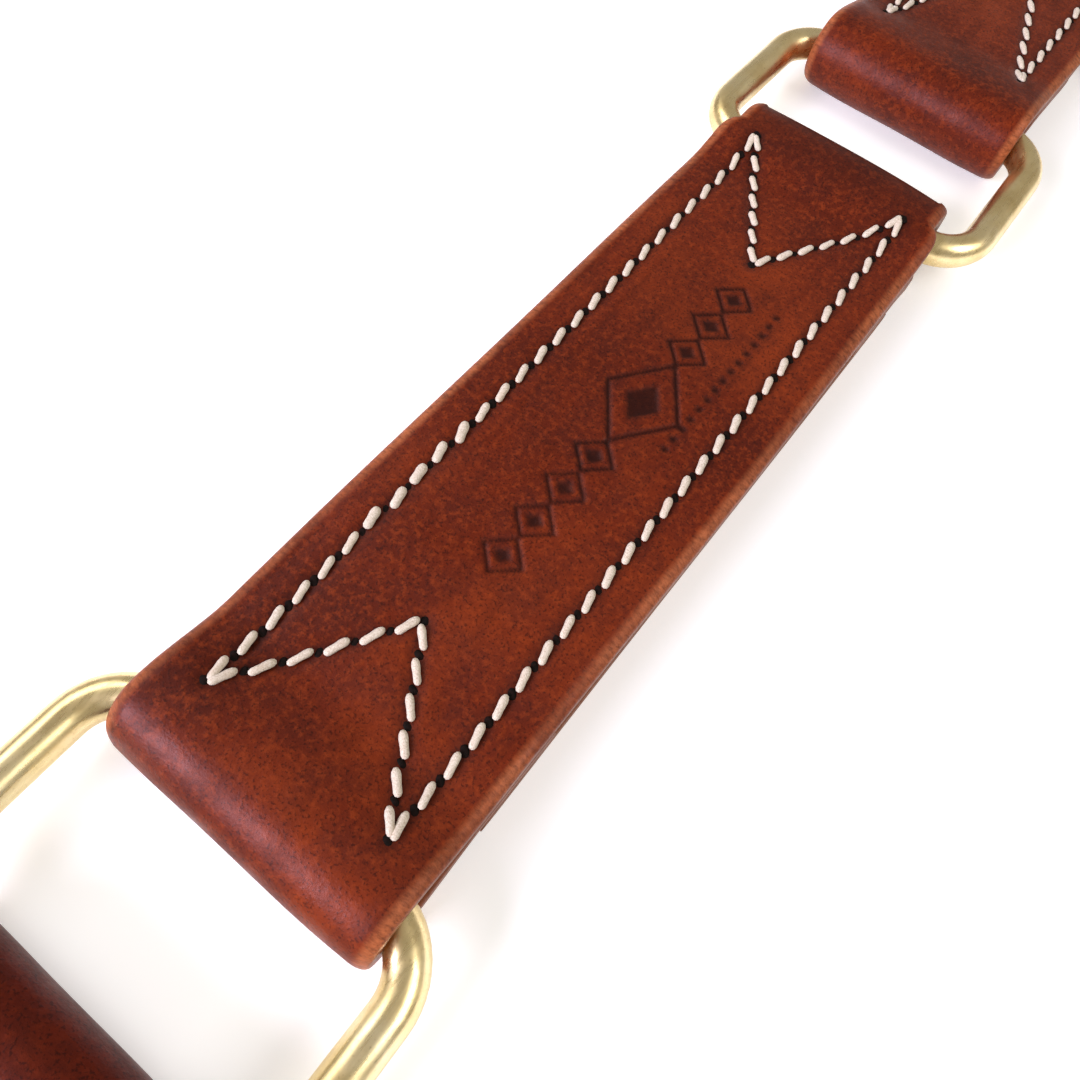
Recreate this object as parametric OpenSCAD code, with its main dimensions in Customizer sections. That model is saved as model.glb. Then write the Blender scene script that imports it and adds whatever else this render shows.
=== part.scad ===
// Leather headcollar, opened out flat with its outer faces up.
// The near cheekpiece lies on Y = 0 along the Y axis, +Y runs towards the crown, and Z = 0 is the table.

/* [Leather] */
// Width of the cheeks, noseband and crown
strap_w = 38; // [36:0.5:40]
// Thickness of one layer of leather
leather_t = 3.3; // [3.1:0.1:3.5]
// Thickness of the skived leather that goes round a bar
wrap_t = 3; // [2.8:0.1:3.2]
// Width of the chin straps and of the jaw strap
chin_w = 25; // [24:0.5:26]
// Width of the throatlash
throat_w = 15; // [13:0.5:15.5]

/* [Lengths] */
// Cheekpiece, from bar to bar
cheek_span = 120.4; // [110:0.2:140]
// Noseband between the two cheekpieces
nose_span = 270; // [250:5:300]
// Noseband beyond each cheekpiece
nose_end = 62; // [60:1:75]
// Crown chape, from the ring's bar to the buckle's bar
chape_span = 112; // [110:1:120]
// Crown, from the ring's bar to its tip
crown_len = 610; // [580:10:640]
// Chin strap, from the tie ring to its tip
billet_len = 215; // [200:5:240]
// Jaw strap, from the tie ring to its loop
jaw_len = 140; // [120:5:145]
// Throatlash, from the ring to the snap hook
throat_len = 300; // [280:5:320]

/* [Brass] */
// Diameter of the cheek rings' round bar
ring_bar_d = 5; // [4.8:0.1:5.2]
// Distance between a cheek ring's two long bars
ring_gap = 31; // [29:0.5:33]
// Corner radius of a cheek ring, on the bar's centreline
ring_corner = 6.5; // [6.3:0.1:6.7]
// Diameter of the bars of the buckles and of the chin ring
buckle_bar_d = 4.4; // [4.2:0.1:4.6]
// Distance between the crown buckle's heel bar and its front bar
buckle_gap = 32; // [30:0.5:34]
// Radius of the round tie ring, on the bar's centreline
tie_r = 30; // [29:0.5:32]
// Diameter of the tie ring's bar
tie_bar_d = 6; // [5.8:0.1:6.2]

/* [Stitching] */
// Distance of a stitch row from the strap's edge
seam_inset = 6; // [5:0.5:7]
// Diameter of the sewing thread
thread_d = 0.9; // [0.8:0.1:1]
// Depth of the stitched point at a turned end
point_depth = 20; // [18:1:22]
// Depth of the longer stitched point on the crown chape
chape_point = 40; // [30:1:45]

/* [Billet holes] */
// Number of holes in the crown
crown_holes = 7; // [5:1:9]
// Number of holes in the chin strap
chin_holes = 5; // [3:1:5]
// Distance between holes
hole_pitch = 25; // [22:1:26]
// Diameter of a hole
hole_d = 5; // [4.5:0.1:5.5]

/* [Hidden] */
$fn = 48;
// Cheek rings and the leather round them
bar_play = 0.6;
ring_bar_r = ring_bar_d / 2;
bore_r = ring_bar_r + bar_play;
wrap_r = bore_r + wrap_t;
bar_z = wrap_r;
ring_play = 1.8;
ring_w = strap_w + 2 * ring_play + ring_bar_d;
// Heights of the layers of a three-layer strap
under_z = leather_t;
mid_z = 2 * leather_t;
top_z = 3 * leather_t;
// Length over which a turned end comes down to the flat of the strap
blend_len = 14;
turn_len = 24;
shoulder_cut = 1.8;
shoulder_len = 8;
// Places along the near side
upper_y = cheek_span / 2;
chape_y = upper_y + ring_gap;
heel_y = chape_y + chape_span;
hanger_y = -upper_y - ring_gap;
nose_y = hanger_y - 42;
hanger_len = hanger_y - nose_y + strap_w / 2 + 5;
off_x = -nose_span;
// Noseband, held between the two legs of each hanger
nose_under = wrap_t;
nose_mid = bar_z;
nose_top = bar_z + bore_r;
neck_len = 36;
neck_taper = 8;
// Chin hardware
small_bar_r = buckle_bar_d / 2;
chin_play = 1.5;
chin_ring_w = chin_w + 2 * chin_play + buckle_bar_d;
chin_gap = 24;
chin_corner = 5.2;
chin_buckle_x = nose_end;
chin_ring_x = off_x - nose_end;
link_x = chin_ring_x - chin_gap;
link_len = 62;
// Tie ring: a straight fold on a curved bar sits halfway into the curve
tie_bar_r = tie_bar_d / 2;
tab_w = 20;
tie_rise = (tie_r - sqrt(tie_r * tie_r - tab_w * tab_w / 4)) / 2;
tie_bore_r = tie_bar_r + tie_rise + 0.3;
tie_seat = tie_r - tie_rise;
tie_wrap_t = 2.5;
tie_wrap_r = tie_bore_r + tie_wrap_t;
tie_x = link_x - link_len - tie_seat;
billet_x = tie_x - tie_seat;
jaw_y = nose_y + tie_seat;
// Throatlash and its snap hook
throat_x = off_x - ring_w / 2;
throat_y = upper_y + ring_gap / 2;
eye_x = throat_x - throat_len;
eye_bar_r = 1.8;
eye_gap = 13;
eye_w = throat_w + 3 + 2 * eye_bar_r;
stem_r = 2;
snap_play = 0.3;
socket_at = eye_gap + 5;
socket_len = 11;
barrel_side = 8;
shank_side = -6;
hook_at = 58;
hook_r = (barrel_side - shank_side) / 2;
// Dee for the snap hook, on the near crown chape
dee_y = 140;
dee_bar_r = 1.6;
dee_wrap_r = 3.5;
dee_tab_w = 18;
dee_r = 11.5;
dee_x = strap_w / 2 + 8;
// Slot in a fold for the eye of a buckle's tongue
slot_w = 6;
slot_back = 8;
// Keepers
keeper_t = 2;
keeper_len = 11;
keeper_room = 4.6;
slide_play = 0.3;
fixed_keeper_y = heel_y - 21;
runner_y = heel_y - 42;
chin_keeper_x = nose_end - 21;

// ---- Shared shapes ----

// A side view, drawn with Y to the right and Z up, made w wide across X
module across(w) {
    rotate([90, 0, 90])
        linear_extrude(height = w, center = true)
            children();
}

// A strap that is drawn along Y, laid along +X or -X from a point
module along_x(x, y, way) {
    translate([x, y, 0])
        rotate([0, 0, -90 * way])
            children();
}

// Side view of leather that comes round a bar at Y = 0 and narrows to the flat of the strap
module turned_end(r, z, low, high) {
    overlap = 0.15;
    translate([0, z])
        circle(r = r);
    polygon([[0, z - r + overlap], [blend_len, low], [blend_len, high], [0, z + r - overlap]]);
}

// Side view of a strip that lies between two heights
module strip(from, to, low, high) {
    translate([from, low])
        square([to - from, high - low]);
}

// Round bar along X, from its middle
module bar(len, r) {
    rotate([0, 90, 0])
        cylinder(h = len, r = r, center = true);
}

// Rectangular ring of round bar, w across X and l along Y, measured on its centreline
module bar_ring(w, l, corner, r) {
    for (side = [-1, 1]) {
        translate([0, side * l / 2, 0])
            bar(w - 2 * corner, r);
        translate([side * w / 2, 0, 0])
            rotate([0, 0, 90])
                bar(l - 2 * corner, r);
    }
    for (turn = [0:3]) {
        wide = turn % 2 == 0 ? w : l;
        long = turn % 2 == 0 ? l : w;
        rotate([0, 0, 90 * turn])
            translate([wide / 2 - corner, long / 2 - corner, 0])
                rotate_extrude(angle = 90)
                    translate([corner, 0])
                        circle(r = r);
    }
}

// Buckle tongue: an eye round the heel bar at Y = 0 and a tip that rests on the front bar
module tongue(bar_r, gap) {
    eye_r = bar_r + 0.3;
    rest = bar_r + 0.3;
    thick = 2.4;
    across(4)
        difference() {
            union() {
                circle(r = eye_r + 1.7);
                polygon([
                    [0, eye_r + 0.2], [eye_r + 0.6, 0.4], [gap - 4, rest], [gap + 3, rest],
                    [gap + 4, rest + 0.8], [gap + 2, rest + thick], [gap / 2, rest + thick - 0.4],
                    [1, eye_r + 1.4],
                ]);
            }
            circle(r = eye_r);
        }
}

// Closed leather band round a strap of width w, from its underside to a height above it
module keeper_band(w, low, high) {
    difference() {
        translate([-w / 2 - keeper_t, -keeper_len / 2, low - keeper_t])
            cube([w + 2 * keeper_t, keeper_len, high - low + 2 * keeper_t]);
        translate([-w / 2, -keeper_len, low])
            cube([w, 2 * keeper_len, high - low]);
    }
}

// Seam of thread lying on a face, from one point to another
module seam(from, to, z) {
    run = to - from;
    translate([from[0], from[1], z])
        rotate([0, 0, atan2(run[1], run[0])])
            translate([0, -thread_d / 2, 0])
                cube([norm(run), thread_d, thread_d / 2]);
}

// Two seams along a strap's edges with a stitched point at each turned end
module pointed_seams(w, from, to, z, depth_a, depth_b) {
    row = w / 2 - seam_inset;
    clear = thread_d;
    for (side = [-1, 1]) {
        seam([side * row, from], [side * row, to], z);
        if (depth_a > 0)
            seam([side * (row - clear), from + clear], [side * clear, from + depth_a], z);
        if (depth_b > 0)
            seam([side * (row - clear), to - clear], [side * clear, to - depth_b], z);
    }
}

// Row of billet holes, from the first one towards -Y
module billet_holes(first, count, step) {
    for (k = [0:count - 1])
        translate([0, first - k * step, -1])
            cylinder(h = 20, d = hole_d);
}

// Cuts a strap's end to a point, at its tip in +Y
module point_cut(w, tip, depth) {
    for (side = [-1, 1])
        translate([0, tip, -1])
            linear_extrude(height = 20)
                polygon([[0, 0], [side * w, 0], [side * w, -depth], [side * w / 2, -depth]]);
}

// ---- Cheekpieces: a strap with both ends turned round a bar, a filler and a lining ----

module cheek_strap() {
    color("#7a3b22")
        difference() {
            across(strap_w)
                difference() {
                    union() {
                        translate([-upper_y, 0])
                            turned_end(wrap_r, bar_z, under_z, top_z);
                        mirror([1, 0])
                            translate([-upper_y, 0])
                                turned_end(wrap_r, bar_z, under_z, top_z);
                        strip(-upper_y + blend_len, upper_y - blend_len, mid_z, top_z);
                        strip(-upper_y + blend_len, -upper_y + turn_len, under_z, mid_z);
                        strip(upper_y - turn_len, upper_y - blend_len, under_z, mid_z);
                    }
                    for (side = [-1, 1])
                        translate([side * upper_y, bar_z])
                            circle(r = bore_r);
                }
            for (side = [-1, 1])
                translate([side * strap_w / 2 - shoulder_cut, upper_y - 2, -1])
                    cube([2 * shoulder_cut, shoulder_len + wrap_r, 2 * wrap_r + 2]);
        }
}

module cheek_filler() {
    color("#8d5a3c")
        across(strap_w)
            strip(-upper_y + turn_len, upper_y - turn_len, under_z, mid_z);
}

module cheek_lining() {
    color("#9c6a48")
        across(strap_w)
            strip(-upper_y + blend_len, upper_y - blend_len, 0, under_z);
}

module cheek_thread() {
    color("#efe6d2")
        pointed_seams(strap_w, -upper_y + blend_len, upper_y - blend_len, top_z, point_depth, point_depth);
}

module near_cheek_strap() {
    cheek_strap();
}

module near_cheek_filler() {
    cheek_filler();
}

module near_cheek_lining() {
    cheek_lining();
}

module near_cheek_thread() {
    cheek_thread();
}

module off_cheek_strap() {
    translate([off_x, 0, 0])
        cheek_strap();
}

module off_cheek_filler() {
    translate([off_x, 0, 0])
        cheek_filler();
}

module off_cheek_lining() {
    translate([off_x, 0, 0])
        cheek_lining();
}

module off_cheek_thread() {
    translate([off_x, 0, 0])
        cheek_thread();
}

// ---- Cheek rings ----

module cheek_ring(x, way) {
    color("#c9a452")
        translate([x, way * (upper_y + ring_gap / 2), bar_z])
            bar_ring(ring_w, ring_gap, ring_corner, ring_bar_r);
}

module near_upper_ring() {
    cheek_ring(0, 1);
}

module near_lower_ring() {
    cheek_ring(0, -1);
}

module off_upper_ring() {
    cheek_ring(off_x, 1);
}

module off_lower_ring() {
    cheek_ring(off_x, -1);
}

// ---- Near crown chape, with its buckle, keepers and dee ----

module near_chape_strap() {
    color("#7a3b22")
        difference() {
            across(strap_w)
                difference() {
                    union() {
                        translate([chape_y, 0])
                            turned_end(wrap_r, bar_z, under_z, top_z);
                        translate([heel_y, 0])
                            mirror([1, 0])
                                turned_end(wrap_r, bar_z, under_z, top_z);
                        strip(chape_y + blend_len, heel_y - blend_len, mid_z, top_z);
                        strip(chape_y + blend_len, chape_y + turn_len, under_z, mid_z);
                        strip(heel_y - turn_len, heel_y - blend_len, under_z, mid_z);
                    }
                    translate([chape_y, bar_z])
                        circle(r = bore_r);
                    translate([heel_y, bar_z])
                        circle(r = bore_r);
                }
            translate([-slot_w / 2, heel_y - slot_back, -1])
                cube([slot_w, slot_back + wrap_r + 1, 2 * wrap_r + 2]);
        }
}

module near_chape_filler() {
    color("#8d5a3c")
        across(strap_w)
            strip(chape_y + turn_len, heel_y - turn_len, under_z, mid_z);
}

module near_chape_thread() {
    color("#efe6d2")
        pointed_seams(strap_w, chape_y + blend_len, heel_y - blend_len, top_z, chape_point, 0);
}

module near_fixed_keeper() {
    color("#6e3420")
        translate([0, fixed_keeper_y, 0])
            keeper_band(strap_w, under_z, top_z + keeper_room);
}

module near_runner() {
    color("#6e3420")
        translate([0, runner_y, 0])
            keeper_band(strap_w + 2 * slide_play, under_z - slide_play, top_z + keeper_room);
}

module near_buckle_frame() {
    color("#c9a452")
        translate([0, heel_y + buckle_gap / 2, bar_z])
            bar_ring(ring_w, buckle_gap, ring_corner, small_bar_r);
}

module near_buckle_tongue() {
    color("#d4b266")
        translate([0, heel_y, bar_z])
            tongue(small_bar_r, buckle_gap);
}

// Folded tab under the chape, with its fold round the dee's straight bar
module dee_tab() {
    tab_root = 16;
    color("#6e3420")
        along_x(dee_x, dee_y, -1)
            across(dee_tab_w)
                difference() {
                    union() {
                        translate([0, dee_wrap_r])
                            circle(r = dee_wrap_r);
                        polygon([
                            [0, 0.1], [tab_root, 0.1], [tab_root + 8, 0.1], [tab_root + 8, under_z],
                            [8, under_z], [0, 2 * dee_wrap_r - 0.1],
                        ]);
                    }
                    translate([0, dee_wrap_r])
                        circle(r = dee_bar_r + 0.3);
                }
}

module throat_dee() {
    color("#c9a452")
        translate([dee_x, dee_y, dee_wrap_r]) {
            rotate([0, 0, 90])
                bar(2 * dee_r, dee_bar_r);
            rotate([0, 0, -90])
                rotate_extrude(angle = 180)
                    translate([dee_r, 0])
                        circle(r = dee_bar_r);
            for (side = [-1, 1])
                translate([0, side * dee_r, 0])
                    sphere(r = dee_bar_r);
        }
}

// ---- Noseband and its hangers ----

// Plan of the noseband, drawn along Y: full width between the cheeks and narrower at both ends
module nose_plan() {
    full = nose_end - neck_len;
    far = nose_span + full;
    tip = nose_end + wrap_r + 1;
    polygon([
        [-strap_w / 2, -full], [-chin_w / 2, -full - neck_taper], [-chin_w / 2, -tip],
        [chin_w / 2, -tip], [chin_w / 2, -full - neck_taper], [strap_w / 2, -full],
        [strap_w / 2, far], [chin_w / 2, far + neck_taper], [chin_w / 2, nose_span + tip],
        [-chin_w / 2, nose_span + tip], [-chin_w / 2, far + neck_taper], [-strap_w / 2, far],
    ]);
}

module noseband_outer() {
    color("#7a3b22")
        along_x(0, nose_y, -1)
            difference() {
                intersection() {
                    across(strap_w)
                        difference() {
                            union() {
                                translate([-nose_end, 0])
                                    turned_end(wrap_r, bar_z, nose_under, nose_top);
                                translate([nose_span + nose_end, 0])
                                    mirror([1, 0])
                                        turned_end(wrap_r, bar_z, nose_under, nose_top);
                                strip(-nose_end + blend_len, nose_span + nose_end - blend_len,
                                    nose_mid, nose_top);
                            }
                            for (y = [-nose_end, nose_span + nose_end])
                                translate([y, bar_z])
                                    circle(r = bore_r);
                        }
                    translate([0, 0, -1])
                        linear_extrude(height = 20)
                            nose_plan();
                }
                translate([-slot_w / 2, -nose_end - wrap_r - 1, -1])
                    cube([slot_w, slot_back + wrap_r + 1, 2 * wrap_r + 2]);
            }
}

module noseband_lining() {
    color("#9c6a48")
        along_x(0, nose_y, -1)
            intersection() {
                across(strap_w)
                    strip(-nose_end + blend_len, nose_span + nose_end - blend_len, nose_under, nose_mid);
                translate([0, 0, -1])
                    linear_extrude(height = 20)
                        nose_plan();
            }
}

module noseband_thread() {
    row = strap_w / 2 - seam_inset;
    reach = strap_w / 2 + 1;
    color("#efe6d2")
        for (side = [-1, 1])
            seam([off_x + reach, nose_y + side * row], [-reach, nose_y + side * row], nose_top);
}

// Strap folded round the ring's lower bar, with one leg over and one leg under the noseband
module hanger() {
    leg = hanger_len;
    color("#7a3b22")
        translate([0, hanger_y, 0])
            mirror([0, 1, 0])
                across(strap_w)
                    difference() {
                        union() {
                            translate([0, bar_z])
                                circle(r = wrap_r);
                            strip(0, leg, 0.05, nose_under);
                            strip(0, leg, nose_top, 2 * wrap_r - 0.05);
                            strip(0, 16, nose_under - 0.1, nose_top + 0.1);
                        }
                        translate([0, bar_z])
                            circle(r = bore_r);
                    }
}

module near_hanger() {
    hanger();
}

module off_hanger() {
    translate([off_x, 0, 0])
        hanger();
}

module hanger_thread() {
    row = strap_w / 2 - seam_inset;
    high = nose_y + row;
    low = nose_y - row;
    z = 2 * wrap_r - 0.05;
    gap = thread_d;
    color("#efe6d2")
        for (x = [0, off_x]) {
            for (side = [-1, 1])
                seam([x + side * row, low], [x + side * row, high], z);
            seam([x - row + gap, high - gap], [x + row - gap, high - gap], z);
            seam([x - row + gap, low + gap], [x + row - gap, low + gap], z);
        }
}

// ---- Chin buckle on the near side ----

module chin_keeper() {
    color("#6e3420")
        along_x(chin_keeper_x, nose_y, 1)
            keeper_band(chin_w, nose_under, nose_top + keeper_room);
}

module chin_buckle_frame() {
    color("#c9a452")
        along_x(chin_buckle_x + chin_gap / 2, nose_y, 1)
            translate([0, 0, bar_z])
                bar_ring(chin_ring_w, chin_gap, chin_corner, small_bar_r);
}

module chin_buckle_tongue() {
    color("#d4b266")
        along_x(chin_buckle_x, nose_y, 1)
            translate([0, 0, bar_z])
                tongue(small_bar_r, chin_gap);
}

// ---- Chin ring, chin straps, tie ring and jaw strap ----

module chin_ring() {
    color("#c9a452")
        along_x(chin_ring_x - chin_gap / 2, nose_y, 1)
            translate([0, 0, bar_z])
                bar_ring(chin_ring_w, chin_gap, chin_corner, small_bar_r);
}

// Narrows the last part of a strap, before Y = to, to the width of a tab
module tab_cut(w, from, to) {
    for (side = [-1, 1])
        translate([side * (tab_w / 2 + w) - w, from, -1])
            cube([2 * w, to - from, 20]);
}

// Two-layer strap from the tie ring's bar at Y = 0 with a plain end, its turned end hidden beneath
module tie_end() {
    translate([0, tie_wrap_r])
        circle(r = tie_wrap_r);
    polygon([
        [0, 0.15], [blend_len, 0.15], [blend_len, mid_z], [0, 2 * tie_wrap_r - 0.15],
    ]);
}

module chin_link_strap() {
    color("#7a3b22")
        along_x(tie_x + tie_seat, nose_y, 1)
            difference() {
                across(chin_w)
                    difference() {
                        union() {
                            tie_end();
                            strip(blend_len, link_len - blend_len, 0.15, mid_z);
                            translate([link_len, 0])
                                mirror([1, 0])
                                    turned_end(wrap_r, bar_z, 0.15, mid_z);
                        }
                        translate([0, tie_wrap_r])
                            circle(r = tie_bore_r);
                        translate([link_len, bar_z])
                            circle(r = bore_r);
                    }
                tab_cut(chin_w, -tie_wrap_r - 1, blend_len);
            }
}

module chin_link_thread() {
    row = chin_w / 2 - seam_inset + 2;
    x = tie_x + tie_seat;
    color("#efe6d2")
        for (side = [-1, 1])
            seam([x + blend_len + 1, nose_y + side * row], [x + link_len - blend_len - 1, nose_y + side * row],
                mid_z);
}

module tie_ring() {
    color("#c9a452")
        translate([tie_x, nose_y, tie_wrap_r])
            rotate_extrude()
                translate([tie_r, 0])
                    circle(r = tie_bar_r);
}

// Chin strap: doubled at the tie ring, then a single layer down on the table, with holes and a point
module chin_billet_strap() {
    turn = 34;
    color("#7a3b22")
        along_x(billet_x, nose_y, -1)
            difference() {
                across(chin_w)
                    difference() {
                        union() {
                            tie_end();
                            strip(blend_len, turn, 0.15, mid_z);
                            polygon([
                                [turn, 0.15], [turn + 4, 0], [billet_len, 0], [billet_len, leather_t],
                                [turn + 10, leather_t], [turn, mid_z],
                            ]);
                        }
                        translate([0, tie_wrap_r])
                            circle(r = tie_bore_r);
                    }
                tab_cut(chin_w, -tie_wrap_r - 1, blend_len);
                billet_holes(billet_len - 32, chin_holes, hole_pitch);
                point_cut(chin_w, billet_len, 12);
            }
}

module chin_billet_thread() {
    row = chin_w / 2 - seam_inset + 2;
    color("#efe6d2")
        for (side = [-1, 1])
            seam([billet_x - 32, nose_y + side * row], [billet_x - blend_len - 1, nose_y + side * row], mid_z);
}

// Jaw strap: from the tie ring towards the throat, ending under its loop
module jaw_strap() {
    color("#7a3b22")
        translate([tie_x, jaw_y, 0])
            difference() {
                across(chin_w)
                    difference() {
                        union() {
                            tie_end();
                            strip(blend_len, jaw_len, 0.15, mid_z);
                        }
                        translate([0, tie_wrap_r])
                            circle(r = tie_bore_r);
                    }
                tab_cut(chin_w, -tie_wrap_r - 1, blend_len);
            }
}

module jaw_thread() {
    row = chin_w / 2 - seam_inset + 2;
    color("#efe6d2")
        for (side = [-1, 1])
            seam([tie_x + side * row, jaw_y + blend_len + 1], [tie_x + side * row, jaw_y + jaw_len - 22], mid_z);
}

// Leather loop on the end of the jaw strap, for the throatlash to pass through
module jaw_loop() {
    reach = 18;
    wall = 2.4;
    room = 6.5;
    color("#6e3420")
        translate([tie_x, jaw_y + jaw_len - reach, mid_z])
            across(chin_w)
                difference() {
                    square([reach, room + 2 * wall]);
                    translate([wall, wall])
                        square([reach - 2 * wall, room]);
                }
}

// ---- Crown: turned round the off ring, lined over the poll, then a single layer with holes ----

module crown_strap() {
    lined = 400;
    color("#7a3b22")
        translate([off_x, chape_y, 0])
            difference() {
                across(strap_w)
                    difference() {
                        union() {
                            turned_end(wrap_r, bar_z, leather_t, mid_z);
                            strip(blend_len, lined, leather_t, mid_z);
                            polygon([
                                [lined, leather_t], [lined + 12, 0], [crown_len, 0], [crown_len, leather_t],
                                [lined + 14, leather_t], [lined, mid_z],
                            ]);
                        }
                        translate([0, bar_z])
                            circle(r = bore_r);
                    }
                billet_holes(crown_len - 45, crown_holes, hole_pitch);
                point_cut(strap_w, crown_len, 18);
            }
}

module crown_lining() {
    color("#9c6a48")
        translate([off_x, chape_y, 0])
            across(strap_w)
                strip(blend_len, 398, 0, leather_t);
}

module crown_thread() {
    row = strap_w / 2 - seam_inset;
    from = chape_y + blend_len + 2;
    color("#efe6d2")
        for (side = [-1, 1])
            seam([off_x + side * row, from], [off_x + side * row, chape_y + 396], mid_z);
}

// ---- Throatlash and snap hook ----

module throat_strap() {
    thin = 2.2;
    flat_z = 2 * thin;
    color("#7a3b22")
        along_x(throat_x, throat_y, -1)
            across(throat_w)
                difference() {
                    union() {
                        turned_end(bore_r + thin, bar_z, 0.1, flat_z);
                        strip(blend_len, throat_len - blend_len, 0.1, flat_z);
                        translate([throat_len, 0])
                            mirror([1, 0])
                                turned_end(eye_bar_r + 0.5 + thin, bar_z, 0.1, flat_z);
                    }
                    translate([0, bar_z])
                        circle(r = bore_r);
                    translate([throat_len, bar_z])
                        circle(r = eye_bar_r + 0.5);
                }
}

module throat_thread() {
    row = throat_w / 2 - 3;
    color("#efe6d2")
        for (side = [-1, 1])
            seam([eye_x + blend_len + 2, throat_y + side * row],
                [throat_x - blend_len - 2, throat_y + side * row], 4.4);
}

// Swivel eye: a small rectangular ring with a headed stem
module snap_eye() {
    color("#c9a452")
        along_x(eye_x, throat_y, -1)
            translate([0, eye_gap / 2, bar_z]) {
                bar_ring(eye_w, eye_gap, 4, eye_bar_r);
                translate([0, eye_gap / 2, 0])
                    rotate([-90, 0, 0])
                        cylinder(h = 12, r = stem_r);
                translate([0, eye_gap / 2 + 10, 0])
                    rotate([-90, 0, 0])
                        cylinder(h = 3, r = stem_r + 1.4);
            }
}

// Snap body: socket for the stem, barrel for the plunger, shank and hook
module snap_body() {
    tube_r = 4.3;
    wall_end = socket_at + socket_len;
    color("#c9a452")
        along_x(eye_x, throat_y, -1)
            translate([0, 0, bar_z])
                difference() {
                    union() {
                        translate([0, socket_at, 0])
                            rotate([-90, 0, 0])
                                cylinder(h = socket_len, r = 5.6);
                        translate([shank_side - 2.5, wall_end - 3, -2.6])
                            cube([barrel_side - shank_side + 2.5, 5, 5.2]);
                        translate([barrel_side, wall_end - 4, 0])
                            rotate([-90, 0, 0])
                                cylinder(h = 22, r = tube_r);
                        translate([shank_side, wall_end - 2, 0])
                            rotate([-90, 0, 0])
                                cylinder(h = hook_at - wall_end + 2, r = 2.5);
                        translate([(barrel_side + shank_side) / 2, hook_at, 0])
                            rotate_extrude(angle = 180)
                                translate([hook_r, 0])
                                    circle(r = 2.5);
                    }
                    translate([0, socket_at - 1, 0])
                        rotate([-90, 0, 0])
                            cylinder(h = 5, r = stem_r + snap_play);
                    translate([0, socket_at + 2.2, 0])
                        rotate([-90, 0, 0])
                            cylinder(h = 6, r = stem_r + 1.4 + snap_play);
                    translate([barrel_side, wall_end + 1, 0])
                        rotate([-90, 0, 0])
                            cylinder(h = 20, r = 2.2 + snap_play);
                    translate([barrel_side - 1.8, wall_end + 1, 0])
                        cube([3.6, 20, 10]);
                }
}

// Plunger: a rod that closes the hook's mouth, with a thumb stud
module snap_plunger() {
    back = socket_at + socket_len + 11;
    color("#d4b266")
        along_x(eye_x, throat_y, -1)
            translate([barrel_side, 0, bar_z]) {
                translate([0, back, 0])
                    rotate([-90, 0, 0])
                        cylinder(h = hook_at - 0.4 - back, r = 2.2);
                translate([0, back + 1.9, 0])
                    cylinder(h = 7, r = 1.5);
                translate([0, back + 1.9, 6.2])
                    cylinder(h = 1.6, r = 2.6);
            }
}

near_cheek_strap();
near_cheek_filler();
near_cheek_lining();
near_cheek_thread();
near_upper_ring();
near_lower_ring();
near_chape_strap();
near_chape_filler();
near_chape_thread();
near_fixed_keeper();
dee_tab();
near_runner();
near_buckle_frame();
near_buckle_tongue();
throat_dee();
noseband_outer();
noseband_lining();
noseband_thread();
near_hanger();
off_hanger();
hanger_thread();
chin_keeper();
chin_buckle_frame();
chin_buckle_tongue();
off_lower_ring();
off_cheek_strap();
off_cheek_filler();
off_cheek_lining();
off_cheek_thread();
off_upper_ring();
crown_strap();
crown_lining();
crown_thread();
throat_strap();
throat_thread();
snap_eye();
snap_body();
snap_plunger();
chin_ring();
chin_link_strap();
chin_link_thread();
tie_ring();
chin_billet_strap();
chin_billet_thread();
jaw_strap();
jaw_thread();
jaw_loop();
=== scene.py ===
import math
import random

import bpy
import numpy as np
from mathutils import Matrix, Vector


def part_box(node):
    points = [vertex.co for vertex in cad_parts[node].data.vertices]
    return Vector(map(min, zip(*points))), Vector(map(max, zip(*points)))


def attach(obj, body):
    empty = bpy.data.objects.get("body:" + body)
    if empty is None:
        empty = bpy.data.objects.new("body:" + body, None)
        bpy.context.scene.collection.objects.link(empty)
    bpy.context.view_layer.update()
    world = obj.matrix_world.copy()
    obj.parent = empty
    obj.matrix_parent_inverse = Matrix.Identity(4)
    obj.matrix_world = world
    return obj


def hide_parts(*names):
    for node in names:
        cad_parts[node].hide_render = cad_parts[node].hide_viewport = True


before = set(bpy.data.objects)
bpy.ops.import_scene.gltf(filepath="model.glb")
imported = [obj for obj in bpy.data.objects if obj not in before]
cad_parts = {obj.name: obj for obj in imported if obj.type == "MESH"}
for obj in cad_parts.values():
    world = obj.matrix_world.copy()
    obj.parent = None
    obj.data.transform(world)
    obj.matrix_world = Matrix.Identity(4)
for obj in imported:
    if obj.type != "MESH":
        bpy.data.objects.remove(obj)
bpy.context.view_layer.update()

MM = 0.001
DEG = math.pi / 180
random.seed(7)

# ---- Sizes in millimetres, the same as in the CAD model or close to them ----

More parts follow.
